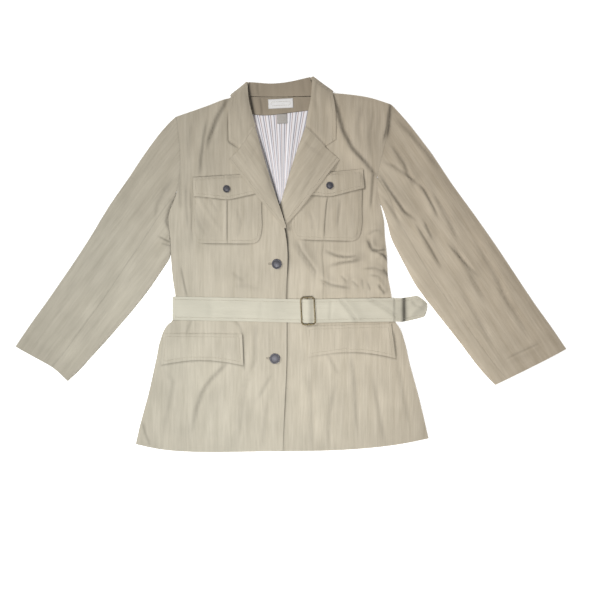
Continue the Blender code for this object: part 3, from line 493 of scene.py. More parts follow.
def slubby_weave(name, pale, deep, painted_lit_tint, painted_shaded_tint):
    """Khaki cloth: slubs and streaks along the grain, a fine weave, and a groove along the topstitching.
    Its colour also carries a painted light gradient across the jacket and painted shade in the folds.
    """
    finish, tree, shader = new_finish(name)
    weave = add(tree, "ShaderNodeUVMap", uv_map="cloth").outputs["UV"]
    place = add(tree, "ShaderNodeTexCoord").outputs["Object"]

    def streaks(width, length, detail):
        scaled = add(tree, "ShaderNodeMapping", {"Vector": weave, "Scale": (1 / width, 1 / length, 1.0)})
        return add(tree, "ShaderNodeTexNoise", {
            "Vector": scaled.outputs["Vector"], "Scale": 1.0, "Detail": detail, "Roughness": 0.55,
        }).outputs["Fac"]

    slub = streaks(SLUB_WIDTH, SLUB_LENGTH, 3.0)
    streak = streaks(STREAK_WIDTH, STREAK_LENGTH, 2.0)
    mottle = add(tree, "ShaderNodeTexNoise", {"Vector": place, "Scale": 1 / MOTTLE, "Detail": 3.0})
    both = add(tree, "ShaderNodeMath", {0: slub, 1: streak}, operation="ADD")
    tone = add(tree, "ShaderNodeMapRange", {
        "Value": both.outputs["Value"], "From Min": 0.72, "From Max": 1.28,
    })
    body = add(tree, "ShaderNodeMix", {
        "Factor": tone.outputs["Result"], "A": linear(deep), "B": linear(pale),
    }, data_type="RGBA")
    # Painted light gradient: greyer and lighter at the lower left, browner and darker at the upper right.
    sides = add(tree, "ShaderNodeSeparateXYZ", {"Vector": place})
    slant = add(tree, "ShaderNodeMath", {
        0: sides.outputs["Y"], 1: 0.6, 2: sides.outputs["X"],
    }, operation="MULTIPLY_ADD")
    across = add(tree, "ShaderNodeMapRange", {
        "Value": slant.outputs["Value"], "From Min": -0.36, "From Max": 0.42,
    })
    cast = add(tree, "ShaderNodeMix", {
        "Factor": across.outputs["Result"], "A": linear(painted_lit_tint), "B": linear(painted_shaded_tint),
    }, data_type="RGBA")
    tinted = add(tree, "ShaderNodeMix", {
        "Factor": 0.5, "A": body.outputs["Result"], "B": cast.outputs["Result"],
    }, data_type="RGBA")
    blotch = add(tree, "ShaderNodeMapRange", {
        "Value": mottle.outputs["Fac"], "From Min": 0.3, "From Max": 0.7, "To Min": 0.93, "To Max": 1.06,
    })
    # Painted shade: the colour darkens in the folds' hollows, along seams and beside edges of pieces on top.
    painted_crease_shade = add(tree, "ShaderNodeAttribute", attribute_name="painted_crease_shade").outputs["Fac"]
    open_share = add(tree, "ShaderNodeMath", {0: 1.0, 1: painted_crease_shade}, operation="SUBTRACT")
    lit = add(tree, "ShaderNodeMath", {
        0: blotch.outputs["Result"], 1: open_share.outputs["Value"],
    }, operation="MULTIPLY")
    # The colour with its random mottle, darkened by the painted shade.
    mottled_with_painted_shade = add(tree, "ShaderNodeVectorMath", {
        0: tinted.outputs["Result"], "Scale": lit.outputs["Value"],
    }, operation="SCALE")
    tree.links.new(mottled_with_painted_shade.outputs["Vector"], shader.inputs["Base Color"])

    threads = add(tree, "ShaderNodeSeparateXYZ", {"Vector": weave})
    turns = []
    for axis in ("X", "Y"):
        phase = add(
            tree, "ShaderNodeMath", {0: threads.outputs[axis], 1: math.pi / THREAD}, operation="MULTIPLY"
        )
        turns.append(add(tree, "ShaderNodeMath", {0: phase.outputs["Value"]}, operation="SINE"))
    plain = add(tree, "ShaderNodeMath", {
        0: turns[0].outputs["Value"], 1: turns[1].outputs["Value"],
    }, operation="MULTIPLY")
    way = add(tree, "ShaderNodeAttribute", attribute_name="sewn").outputs["Fac"]
    from_line = add(tree, "ShaderNodeMath", {0: way, 1: STITCH_INSET}, operation="SUBTRACT")
    off_line = add(tree, "ShaderNodeMath", {0: from_line.outputs["Value"]}, operation="ABSOLUTE")
    groove = add(tree, "ShaderNodeMapRange", {
        "Value": off_line.outputs["Value"], "From Min": 0.0, "From Max": GROOVE,
        "To Min": -0.45, "To Max": 0.0,
    }, interpolation_type="SMOOTHSTEP")
    height = add(tree, "ShaderNodeMath", {
        0: both.outputs["Value"], 1: 0.9, 2: groove.outputs["Result"],
    }, operation="MULTIPLY_ADD")
    raised = add(tree, "ShaderNodeMath", {
        0: plain.outputs["Value"], 1: 0.1, 2: height.outputs["Value"],
    }, operation="MULTIPLY_ADD")
    bump = add(tree, "ShaderNodeBump", {
        "Height": raised.outputs["Value"], "Strength": 0.8, "Distance": 0.7 * MM,
    })
    tree.links.new(bump.outputs["Normal"], shader.inputs["Normal"])
    shader.inputs["Roughness"].default_value = 0.82
    shader.inputs["Sheen Weight"].default_value = 0.15
    shader.inputs["Sheen Roughness"].default_value = 0.5
    shader.inputs["Specular IOR Level"].default_value = 0.25
    return finish


khaki = slubby_weave("slubby_khaki_weave", "#c8c0ad", "#aaa28e", "#b9b5a8", "#b6a38d")
back_folds = [
    Fold(0.5, 14.0, 0.0, ((-120, 250), (-90, 100), (-110, -40))),
    Fold(0.4, 16.0, 0.0, ((120, 230), (80, 60), (105, -60))),
]
back = laid_cloth("back_cloth", "back", BACK_STEP, BACK_WALL, back_folds)
back.data.materials.append(khaki)
declare(back, "back")

# Inside of the neck: the collar's stand and the shaped facing, both of shell cloth and seamed together.
# The stand has crumpled where it rolls into the collar, and the facing has one fold at its right end.
NECK_STEP = 2.2 * MM
NECK_WALL = 1.2 * MM
STAND_REACH = 7.0 * MM
STAND_ROLL = 0.8 * MM
# The stand and facing take a darker copy of the khaki weave: painted shade for the inside of the neck.
khaki_in_painted_shade = slubby_weave("inner_khaki_weave", "#a89d8b", "#9c917f", "#a39a8a", "#a5947f")
# UNDER_ROLL and UNDER_LAPEL are painted shadow lines on the stand, facing and lining, beside the roll of the
# collar and the edge of the right lapel.
UNDER_ROLL = Gap(0.9, 3.6, ((-102, 450), (-94, 400), (-89, 372), (-81, 330), (-72, 290)))
UNDER_LAPEL = Gap(0.85, 2.0, ((-76, 304), (-72, 290), (-55, 232), (-37, 172), (-9, 70), (6, 20)))
stand_folds = [
    UNDER_ROLL,
    Fold(1.6, 4.0, 0.3, ((-84, 374), (-76, 350))),
    Fold(1.2, 4.0, 0.0, ((-70, 376), (-66, 352))),
    Fold(0.8, 6.0, 0.0, ((26, 382), (30, 356))),
]
facing_folds = [
    UNDER_ROLL,
    Fold(1.8, 3.6, -0.3, ((-64, 352), (-60, 330), (-58, 306))),
    Fold(0.9, 5.0, 0.0, ((20, 350), (26, 318))),
]
stand = laid_cloth(
    "collar_stand_cloth", "collar_stand", NECK_STEP, NECK_WALL, stand_folds, ["back_cloth"], 0.0, 10
)
low, high = (np.array(corner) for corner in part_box("collar_stand"))
for vert in stand.data.vertices:
    share = float(ease((vert.co.y - low[1]) / (high[1] - low[1]), 0.3, 0.95))
    vert.co.y += STAND_REACH * share
    vert.co.z -= STAND_ROLL * share
stand.data.materials.append(khaki_in_painted_shade)
declare(stand, "collar_stand")
facing = laid_cloth(
    "neck_facing_cloth", "neck_facing", NECK_STEP, NECK_WALL, facing_folds, ["back_cloth"], 0.0, 10
)
facing.data.materials.append(khaki_in_painted_shade)
declare(facing, "neck_facing")

# Lining of the back: smooth white twill with thin grey-blue and brown stripes, seamed to the facing.
# It lies in soft folds that close up like a fan towards the bottom of the neckline.
LINING_STEP = 2.4 * MM
LINING_WALL = 0.8 * MM
FAN_X, FAN_Y = -17.0 * MM, 66.0 * MM
FAN_TOP = 312.0 * MM
STRIPE_PITCH = 11.5 * MM
lining_folds = [
    UNDER_ROLL,
    UNDER_LAPEL,
    Fold(1.4, 5.0, 0.0, ((-62, 320), (-40, 220), (-22, 110))),
    Fold(1.2, 4.0, 0.2, ((-44, 320), (-30, 220), (-20, 110))),
    Fold(1.5, 5.0, -0.2, ((-10, 320), (-14, 220), (-16, 110))),
    Ridge(1.2, 5.0, ((6, 320), (-4, 220), (-12, 110))),
    Fold(1.4, 5.0, 0.2, ((20, 322), (4, 220), (-10, 110))),
]


def striped_lining():
    """White lining with a thin grey-blue and a thinner brown stripe in each repeat, darkened by
    painted shade along its folds and beside the edges that lie over it.
    """
    finish, tree, shader = new_finish("striped_twill_lining")
    weave = add(tree, "ShaderNodeUVMap", uv_map="cloth").outputs["UV"]
    parts = add(tree, "ShaderNodeSeparateXYZ", {"Vector": weave})
    repeat = add(tree, "ShaderNodeMath", {0: parts.outputs["X"], 1: 1 / STRIPE_PITCH}, operation="MULTIPLY")
    share = add(tree, "ShaderNodeMath", {0: repeat.outputs["Value"]}, operation="FRACT")
    bands = add(tree, "ShaderNodeValToRGB", {"Fac": share.outputs["Value"]})
    bands.color_ramp.interpolation = "LINEAR"
    stops = [
        (0.0, "#f3f0f2"), (0.30, "#f1eef1"), (0.36, "#9796a2"), (0.47, "#a5a3ae"), (0.53, "#f0edf0"),
        (0.70, "#f1eef0"), (0.75, "#a98d88"), (0.82, "#b59b95"), (0.87, "#efebed"), (1.0, "#f3f0f2"),
    ]
    ramp = bands.color_ramp.elements
    while len(ramp) < len(stops):
        ramp.new(0.5)
    for stop, (at, colour) in zip(ramp, stops):
        stop.position = at
        stop.color = linear(colour)
    # Painted shade: the stripes darken along the folds and beside the roll edges over the lining.
    painted_crease_shade = add(tree, "ShaderNodeAttribute", attribute_name="painted_crease_shade").outputs["Fac"]
    open_share = add(tree, "ShaderNodeMath", {0: 1.0, 1: painted_crease_shade}, operation="SUBTRACT")
    shaded = add(tree, "ShaderNodeVectorMath", {
        0: bands.outputs["Color"], "Scale": open_share.outputs["Value"],
    }, operation="SCALE")
    tree.links.new(shaded.outputs["Vector"], shader.inputs["Base Color"])
    shader.inputs["Roughness"].default_value = 0.55
    shader.inputs["Sheen Weight"].default_value = 0.1
    return finish


lining = laid_cloth(
    "back_lining_cloth", "back_lining", LINING_STEP, LINING_WALL, lining_folds, ["back_cloth"], 0.0, 10
)
lining.data.materials.append(striped_lining())
fan = lining.data.uv_layers["cloth"]
spread_to = np.zeros(len(fan.data) * 2)
fan.data.foreach_get("uv", spread_to)
spread_to = spread_to.reshape(-1, 2)
closing = np.maximum(spread_to[:, 1] - FAN_Y, 10 * MM) / (FAN_TOP - FAN_Y)
spread_to[:, 0] = (spread_to[:, 0] - FAN_X) / closing
fan.data.foreach_set("uv", spread_to.ravel())
declare(lining, "back_lining")

# Neck label and size tab: woven satin, the label sewn to the facing all round and the tab caught under it.
# Both are blank.
LABEL_STEP = 1.6 * MM
LABEL_WALL = 0.6 * MM


def satin(name, colour, edge_colour):
    """Fine satin ribbon with a slightly darker woven border."""
    finish, tree, shader = new_finish(name)
    way = add(tree, "ShaderNodeAttribute", attribute_name="sewn").outputs["Fac"]
    border = add(tree, "ShaderNodeMapRange", {
        "Value": way, "From Min": 0.8, "From Max": 1.8,
    }, interpolation_type="SMOOTHSTEP")
    place = add(tree, "ShaderNodeTexCoord").outputs["Object"]
    cloud = add(tree, "ShaderNodeTexNoise", {"Vector": place, "Scale": 1 / (6 * MM), "Detail": 2.0})
    shade = add(tree, "ShaderNodeMix", {
        "Factor": border.outputs["Result"], "A": linear(edge_colour), "B": linear(colour),
    }, data_type="RGBA")
    tree.links.new(shade.outputs["Result"], shader.inputs["Base Color"])
    bump = add(
        tree, "ShaderNodeBump", {"Height": cloud.outputs["Fac"], "Strength": 0.4, "Distance": 0.3 * MM}
    )
    tree.links.new(bump.outputs["Normal"], shader.inputs["Normal"])
    shader.inputs["Roughness"].default_value = 0.42
    return finish


label = laid_cloth(
    "neck_label_satin", "neck_label", LABEL_STEP, LABEL_WALL, (), ["neck_facing_cloth"], 3.0, 6, "all"
)
label.data.materials.append(satin("white_label_satin", "#efedeb", "#d9d6d2"))
declare(label, "neck_label")
under_tab = ["back_lining_cloth", "neck_facing_cloth"]
tab = laid_cloth("size_tab_satin", "size_tab", LABEL_STEP, LABEL_WALL, (), under_tab, 3.0, 6, "all")
tab.data.materials.append(satin("grey_tab_satin", "#b5b0aa", "#a19c96"))
declare(tab, "size_tab")

# Left front: the under lap, from the shoulder to the hem, with a waist dart. A deep fold runs from the neck
# to the armhole, the waist has crumpled above the belt, and the skirt hangs in long soft folds.
FRONT_STEP = 2.6 * MM
FRONT_WALL = 1.3 * MM
# The Gaps below are painted shadow lines: at the armhole, in the waist crumples, and along the hip flap's
# right end and lower edge.
LEFT_FRONT_FOLDS = [
    Fold(6.4, 6.5, -0.85, ((84, 367), (89, 355), (101, 319), (111, 281), (130, 244), (158, 214), (184, 182))),
    Fold(3.0, 4.0, -0.4, ((174, 196), (172, 160), (168, 112))),
    Fold(1.4, 6.0, -0.3, ((150, 334), (142, 290), (146, 250))),
    Fold(1.2, 5.0, -0.3, ((176, 322), (166, 270), (170, 220))),
    Fold(2.6, 2.8, -0.9, ((205, 326), (204, 308), (202, 288), (194, 254))),
    Gap(0.7, 3.0, ((208, 344), (207, 312), (205, 288), (200, 258))),
    Fold(2.4, 4.5, -0.4, ((158, 61), (170, 70), (189, 74))),
    Fold(4.6, 3.6, 0.4, ((160, 56), (164, 44), (170, 30), (184, 27), (206, 30))),
    Gap(0.55, 3.0, ((160, 52), (166, 37), (171, 29), (188, 26))),
    Gap(0.5, 3.0, ((184, 25), (196, 17), (206, 6))),
    Gap(0.5, 3.5, ((190, -10), (198, -17), (206, -26))),
    Gap(0.4, 2.5, ((182, -42), (190, -53), (198, -63))),
    Gap(0.4, 2.0, ((206, -122), (211, -158), (217, -194))),
    Ridge(2.4, 9.0, ((164, 12), (182, 18), (202, 8))),
    Fold(3.2, 3.6, -0.4, ((180, 25), (194, 20), (206, 8))),
    Fold(3.2, 4.0, 0.4, ((150, -11), (176, -10), (204, -20))),
    Fold(2.8, 4.0, 0.4, ((164, -24), (182, -27), (196, -40))),
    Fold(3.6, 5.0, -0.4, ((70, 30), (94, 20), (116, 16), (142, 19))),
    Fold(3.0, 5.0, 0.4, ((78, -6), (106, 0), (150, 6))),
    Ridge(2.6, 6.5, ((82, 8), (118, 11), (156, 21))),
    Fold(5.0, 5.0, 0.4, ((58, -33), (86, -46), (126, -53))),
    Fold(5.6, 5.5, 0.3, ((7, 54), (20, 25), (39, -1), (49, -16), (48, -34))),
    Fold(1.8, 3.5, 0.0, ((105, -23), (112, -31), (119, -38))),
    Fold(2.0, 3.5, 0.0, ((128, -34), (136, -42), (143, -49))),
    Fold(2.0, 3.0, 0.0, ((150, -30), (151, -43), (152, -55))),
    Fold(1.6, 3.0, 0.0, ((161, -38), (164, -46), (167, -55))),
    Fold(3.4, 3.2, 0.2, ((182, -40), (188, -50), (197, -62))),
    Fold(1.5, 2.2, 0.0, ((70, 60), (66, 21), (69, -16), (68, -80))),
    Fold(2.5, 8.5, -0.4, ((128, -184), (136, -243), (142, -356))),
    Fold(1.9, 6.0, -0.4, ((77, -182), (87, -202), (103, -232))),
    Fold(2.0, 9.0, -0.3, ((40, -226), (46, -300), (48, -386))),
    Fold(2.1, 9.0, -0.3, ((176, -240), (188, -310), (200, -376))),
    Fold(1.7, 8.0, -0.3, ((98, -246), (84, -310), (82, -386))),
    Fold(1.5, 8.0, -0.3, ((225, -196), (238, -270), (250, -336))),
    Gap(0.55, 1.3, ((214, -136), (217.5, -160), (220, -180), (222, -199))),
    Gap(0.45, 1.5, ((150, -186.5), (180, -189), (204, -194), (222, -199.5))),
]
# FRONT_EDGE and UNDER_BREAK are painted shadow lines beside the right front's edge and the right lapel's
# break.
FRONT_EDGE = Gap(0.5, 2.0, (
    (-22, 130), (-13, 86), (-7, 48), (-5, 14), (-7, -16), (-8, -74), (-8, -190), (-11, -280), (-18, -410),
))
UNDER_BREAK = Gap(0.84, 2.6, (
    (-52, 232), (-36, 176), (-22, 130), (-13, 86), (-7, 48), (-5, 14), (-7, -26), (-8, -60),
))
# The under_edge lines are painted shadows along the edges of the pocket and flaps laid on this front.
on_front = [under_edge(node) for node in ("chest_pocket_left", "chest_flap_left", "hip_flap_left")]
on_front += [FRONT_EDGE, UNDER_BREAK]
front_left = laid_cloth(
    "front_left_cloth", "front_left", FRONT_STEP, FRONT_WALL, LEFT_FRONT_FOLDS + on_front, ["back_cloth"]
)
front_left.data.materials.append(khaki)
declare(front_left, "front_left")

# Chest pockets: patch pockets with an inverted pleat, each under a pointed flap topstitched all round.
# They are sewn on the fronts before the lapels are turned back.
SMALL_STEP = 1.9 * MM
SMALL_WALL = 1.2 * MM
FLAP_DROP = 2.0 * MM
PLEAT_DEPTH = 20.0 * MM


def chest_pocket(side, pleat, pocket_folds, flap_folds, lean, tilt):
    """Pocket and flap of one side; lean and tilt turn their grains, in degrees."""
    front = f"front_{side}_cloth"
    # The pocket takes a painted shadow line along its flap's edge.
    pleated = [Fold(2.4, 2.0, -0.6, pleat), under_edge(f"chest_flap_{side}")] + pocket_folds
    pocket = laid_cloth(
        f"chest_pocket_{side}_cloth", f"chest_pocket_{side}", SMALL_STEP, SMALL_WALL, pleated,
        [front], lean, 14, "all",
    )
    pocket.data.materials.append(khaki)
    width, length = flat_size(outlines[pocket.name][0], lean)
    cut = (width + PLEAT_DEPTH, length)
    declare(pocket, f"chest_pocket_{side}", cut)
    flap = laid_cloth(
        f"chest_flap_{side}_cloth", f"chest_flap_{side}", SMALL_STEP, SMALL_WALL, flap_folds,
        [front, pocket.name], tilt, 12, "all", drop=FLAP_DROP,
    )
    flap.data.materials.append(khaki)
    declare(flap, f"chest_flap_{side}")


chest_pocket(
    "left",
    ((80, 150), (75, 125), (72, 90), (70, 46)),
    [
        Fold(1.8, 5.0, -0.3, ((104, 136), (102, 110), (98, 74))),
        Ridge(1.2, 6.0, ((120, 140), (124, 100), (120, 70))),
        Fold(1.4, 5.0, 0.0, ((40, 110), (46, 90), (46, 66))),
    ],
    [Fold(0.7, 5.0, 0.0, ((92, 192), (90, 160)))],
    -1.6,
    5.0,
)

# Left lapel: turned back over the front, pocket and flap along a soft roll, and topstitched along its edge.
# Its cloth is the facing's, so its grain lies across the front's.
LAPEL_WALL = 1.3 * MM
LEFT_LAPEL_FOLDS = [
    UNDER_BREAK,
    Fold(1.3, 6.0, 0.3, ((24, 264), (46, 241), (72, 226))),
    Ridge(0.8, 12.0, ((20, 220), (30, 190), (20, 150))),
    Fold(0.7, 7.0, 0.0, ((60, 205), (40, 175), (20, 140))),
]
on_left = ["front_left_cloth", "chest_pocket_left_cloth", "chest_flap_left_cloth"]
lapel_left = laid_cloth(
    "lapel_left_cloth", "lapel_left", SMALL_STEP, LAPEL_WALL, LEFT_LAPEL_FOLDS, on_left, -35.0, 16, (3,)
)
lapel_left.data.materials.append(khaki)
declare(lapel_left, "lapel_left")

# Right front: the upper lap, with its edge straight down from the neckline to the hem. Two narrow folds drop
# from the shoulder, a short dart shapes the waist, and the skirt has three long folds.
# The Gaps below are painted shadow lines: beside the hip flap's right end and under the right collar leaf's
# edge.
RIGHT_FRONT_FOLDS = [
    Fold(5.6, 6.5, -0.6, ((-124, 356), (-133, 338), (-152, 304), (-168, 262), (-174, 236))),
    Fold(4.0, 5.0, -0.6, ((-172, 306), (-180, 265), (-186, 220), (-189, 176))),
    Fold(1.5, 6.0, -0.3, ((-205, 300), (-212, 250), (-210, 210))),
    Fold(2.2, 4.5, -0.3, ((-230, 204), (-231, 160), (-228, 108))),
    Fold(2.4, 4.5, -0.3, ((-218, 170), (-217, 120), (-213, 72))),
    Fold(1.8, 4.5, -0.3, ((-208, 160), (-206, 100), (-206, 34))),
    Fold(2.8, 3.4, -0.3, ((-229, -4), (-222, -40), (-214, -74))),
    Fold(1.8, 6.0, 0.0, ((-124, -14), (-112, -26), (-96, -36))),
    Fold(1.4, 7.0, 0.0, ((-122, -48), (-90, -46), (-60, -52))),
    Fold(2.0, 4.5, 0.0, ((-206, -114), (-212, -130), (-218, -146))),
    Fold(2.4, 5.0, 0.0, ((-120, -114), (-106, -130), (-98, -152))),
    Fold(3.7, 8.0, -0.5, (
        (-120, -196), (-140, -218), (-166, -245), (-183, -270), (-195, -306), (-204, -356),
    )),
    Fold(2.4, 8.0, -0.5, ((-70, -120), (-71, -160), (-72, -200), (-83, -232))),
    Fold(3.4, 8.0, 0.4, ((-80, -218), (-100, -264), (-107, -327), (-115, -388))),
    Fold(1.9, 8.0, -0.4, ((-268, -212), (-242, -246), (-252, -295), (-263, -356))),
    Fold(2.8, 4.0, -0.2, ((-311, -326), (-303, -352), (-293, -380))),
    Fold(2.0, 6.0, -0.2, ((-38, -232), (-52, -256), (-66, -284))),
    Ridge(1.6, 3.0, ((-266, -141), (-180, -142), (-102, -143))),
    Gap(0.65, 2.0, ((-101, -138), (-99, -180), (-97, -222))),
    Fold(1.5, 9.0, -0.2, ((-45, -286), (-52, -340), (-56, -390))),
    Gap(0.5, 1.6, ((-131, 320), (-132, 290), (-131.5, 260), (-129, 254.5), (-104, 238.5))),
]
# The under_edge lines are painted shadows along the edges of the pocket and flaps laid on this front.
on_front = [under_edge(node) for node in ("chest_pocket_right", "chest_flap_right", "hip_flap_right")]
front_right = laid_cloth(
    "front_right_cloth", "front_right", FRONT_STEP, FRONT_WALL, RIGHT_FRONT_FOLDS + on_front,
    ["back_cloth", "front_left_cloth", "lapel_left_cloth"],
)
front_right.data.materials.append(khaki)
declare(front_right, "front_right")
chest_pocket(
    "right",
    ((-132, 152), (-132, 90), (-132, 32)),
    [
        Fold(2.4, 4.5, 0.5, ((-180, 148), (-166, 128), (-152, 104))),
        Ridge(2.0, 4.5, ((-198, 146), (-174, 106), (-146, 66))),
        Fold(2.0, 5.0, 0.4, ((-204, 126), (-196, 92), (-178, 56))),
        Fold(1.6, 5.0, 0.0, ((-112, 120), (-104, 84), (-112, 50))),
    ],
    [],
    -0.5,
    3.4,
)

# Right lapel: like the left one, turned back over its front and pocket.
RIGHT_LAPEL_FOLDS = [
    Fold(1.1, 5.0, 0.2, ((-106, 244), (-92, 222), (-84, 200))),
    Fold(0.8, 6.0, 0.0, ((-70, 250), (-80, 225), (-100, 205))),
    Ridge(0.8, 10.0, ((-60, 215), (-55, 180), (-38, 140))),
]
on_right = ["front_right_cloth", "chest_pocket_right_cloth", "chest_flap_right_cloth"]
lapel_right = laid_cloth(
    "lapel_right_cloth", "lapel_right", SMALL_STEP, LAPEL_WALL, RIGHT_LAPEL_FOLDS, on_right, 35.0, 16, (1,)
)
lapel_right.data.materials.append(khaki)
declare(lapel_right, "lapel_right")

# Collar fall: one piece, folded over at the back of the neck. Its two leaves lie on the fronts, and the
# stretch between them has slipped beneath the back.
COLLAR_WALL = 1.3 * MM
BEND_REACH = 7.0 * MM
COLLAR_CLEAR = 3.2 * MM
COLLAR_WIDTH = 78.0 * MM
COLLAR_FOLDS = [
    Fold(1.6, 7.0, 0.0, ((56, 384), (52, 350), (54, 316))),
    Ridge(1.0, 9.0, ((78, 362), (76, 320), (70, 280))),
    Fold(0.8, 7.0, 0.0, ((-108, 340), (-104, 300), (-96, 262))),
    Ridge(0.8, 2.2, ((-125, 330), (-126, 296), (-125, 263), (-105, 250))),
]


def bend_between(outline, marks, low_outline):
    """Point numbers along the longest side of an outline that lies over the edge of the stretch beneath,
    and those of that stretch's edge, both in the same direction."""
    best = []
    for k in range(len(marks)):
        side = side_between(marks, k, len(outline))
        if len(side) > len(best) and distance_to(low_outline[:, :2], outline[side, :2]).mean() < BEND_REACH:
            best = side
    ends = [
        int(np.linalg.norm(low_outline[:, :2] - outline[n, :2], axis=1).argmin()) for n in (best[0], best[-1])
    ]
    count = len(low_outline)
    ahead = [(ends[0] + n) % count for n in range((ends[1] - ends[0]) % count + 1)]
    back = [(ends[0] - n) % count for n in range((ends[0] - ends[1]) % count + 1)]
    return best, min(ahead, back, key=len)


def zipped(a, b, points):
    """Triangles that close the strip between two runs of points."""
    faces, i, j = [], 0, 0
    while i < len(a) - 1 or j < len(b) - 1:
        ahead_a = i < len(a) - 1 and (
            j == len(b) - 1
            or np.linalg.norm(points[a[i + 1]] - points[b[j]])
            <= np.linalg.norm(points[a[i]] - points[b[j + 1]])
        )
        if ahead_a:
            faces.append((a[i + 1], a[i], b[j]))
            i += 1
        else:
            faces.append((a[i], b[j], b[j + 1]))
            j += 1
    return faces


def turned_cloth(
    name, node, upper_loops, lower_loop, step, low_step, wall, folds, under, grain, stitched=(), joined=()
):
    """A piece whose upper stretches bend round an edge to a stretch that faces down."""
    low_outline, low_marks = even_outline(lower_loop[::-1], low_step)
    places, faces = fill(low_outline[:, :2], low_step)
    heights = np.full(len(places), np.median(lower_loop[:, 2]))
    heights[:len(low_outline)] = low_outline[:, 2]
    points = np.column_stack([places, heights])
    all_faces = [tuple(reversed(face)) for face in faces]
    low = len(points)
    sewn = np.full(low, FAR_FROM_SEWING)
    shade = np.zeros(low)
    seams[name] = []
    for loop in upper_loops:
        outline, marks = even_outline(loop, step)
        outline, moved = seamed(outline, joined)
        places, faces = fill(outline[:, :2], step, folds)
        a, b = bend_between(outline, marks, low_outline)
        heights, dark = draped(
            cad_tree(node), outline, moved, places, faces, wall, folds, under, 14, EDGE_DROP
        )
        heights[a] = outline[a, 2]
        start = len(points)
        points = np.concatenate([points, np.column_stack([places, heights])])
        all_faces += [tuple(n + start for n in face) for face in faces]
        all_faces += zipped([n + start for n in a], b, points)
        sewn = np.concatenate([sewn, way_to_sewing(outline, marks, places, stitched)])
        shade = np.concatenate([shade, dark])
        seams[name].append(points[start:start + len(outline)])
    made = cloth_object(name, points, all_faces, wall, grain, sewn, shade, low)
    outlines[name] = (low_outline, low_marks, grain)
    return made


leaves = skin_loops("collar_fall", 1, COLLAR_CLEAR)[:2]
beneath = skin_loops("collar_fall", -1, -1.0, COLLAR_CLEAR)[0]
under_collar = on_left + on_right + ["lapel_left_cloth", "lapel_right_cloth", "collar_stand_cloth"]
collar = turned_cloth(
    "collar_fall_cloth", "collar_fall", leaves, beneath, SMALL_STEP, 5.0 * MM, COLLAR_WALL, COLLAR_FOLDS,
    under_collar, 0.0, (0, 1), ["lapel_left_cloth", "lapel_right_cloth"],
)
collar.data.materials.append(khaki)
leaf_area = sum(flat_area(leaf) for leaf in leaves) + flat_area(beneath)
declare(
    collar, "collar_fall",
    (COLLAR_WIDTH, leaf_area / (0.9 * COLLAR_WIDTH)),
)

# Sleeves: two pieces each, seamed along the arm. The upper piece lies on top; the under piece lies on the
# table and turns up round the inner edge to the seam. The left sleeve is crumpled, the right one is smooth.
SLEEVE_STEP = 2.8 * MM
SLEEVE_LOW_STEP = 8.0 * MM
SLEEVE_WALL = 1.3 * MM
SLEEVE_CLEAR = 3.0 * MM
RIGHT_SLEEVE_FOLDS = [
    Fold(2.2, 5.5, -0.4, ((-241, 180), (-263, 154), (-278, 122), (-283, 88))),
    Fold(4.0, 4.2, -0.4, ((-240, 146), (-254, 110), (-259, 90), (-252, 66))),
    Fold(3.2, 3.4, 0.0, ((-278, 59), (-264, 52), (-248, 44))),
    Fold(2.4, 3.4, 0.0, ((-272, 44), (-258, 40), (-247, 38))),
    Fold(1.2, 11.0, 0.0, ((-280, 240), (-330, 160), (-370, 90))),
    Fold(1.0, 12.0, 0.0, ((-390, 60), (-440, -20), (-480, -90))),
    Fold(0.9, 11.0, 0.0, ((-350, -40), (-400, -110), (-440, -170))),
]
# The Gap is a painted shadow line along the armhole seam.
LEFT_SLEEVE_FOLDS = [
    Gap(0.7, 3.0, ((208, 344), (207, 312), (205, 288), (200, 258))),
    Fold(5.4, 4.8, -0.5, ((187, 189), (211, 150), (238, 111), (262, 94))),
    Fold(3.2, 5.5, -0.4, ((211, 252), (238, 212), (246, 189), (262, 172))),
    Fold(3.0, 5.5, -0.4, ((194, 216), (215, 207), (242, 188), (266, 171))),
    Fold(4.6, 4.4, -0.5, ((266, 172), (281, 154), (295, 128), (310, 98))),
    Fold(2.6, 3.8, -0.3, ((280, 90), (288, 72), (298, 54))),
    Fold(3.8, 4.2, -0.5, ((261, 87), (291, 37), (317, -8))),
    Fold(2.6, 5.0, -0.4, ((326, 47), (360, 10), (394, -26))),
    Fold(2.2, 5.0, -0.3, ((192, 146), (214, 112), (236, 74))),
    Fold(2.4, 6.0, -0.5, ((214, 314), (254, 272), (284, 237), (316, 194))),
    Fold(2.4, 7.0, -0.3, ((298, 154), (330, 96), (354, 46))),
    Fold(2.0, 8.0, -0.3, ((330, 60), (372, -10), (410, -80))),
    Fold(2.0, 8.0, -0.3, ((380, 60), (424, -12), (460, -84))),
    Fold(1.8, 8.0, -0.3, ((352, -40), (392, -110), (430, -180))),
    Fold(1.7, 8.0, -0.3, ((430, -40), (470, -100), (500, -150))),
    Fold(1.4, 3.2, 0.0, ((448, -200), (488, -181), (526, -163))),
]


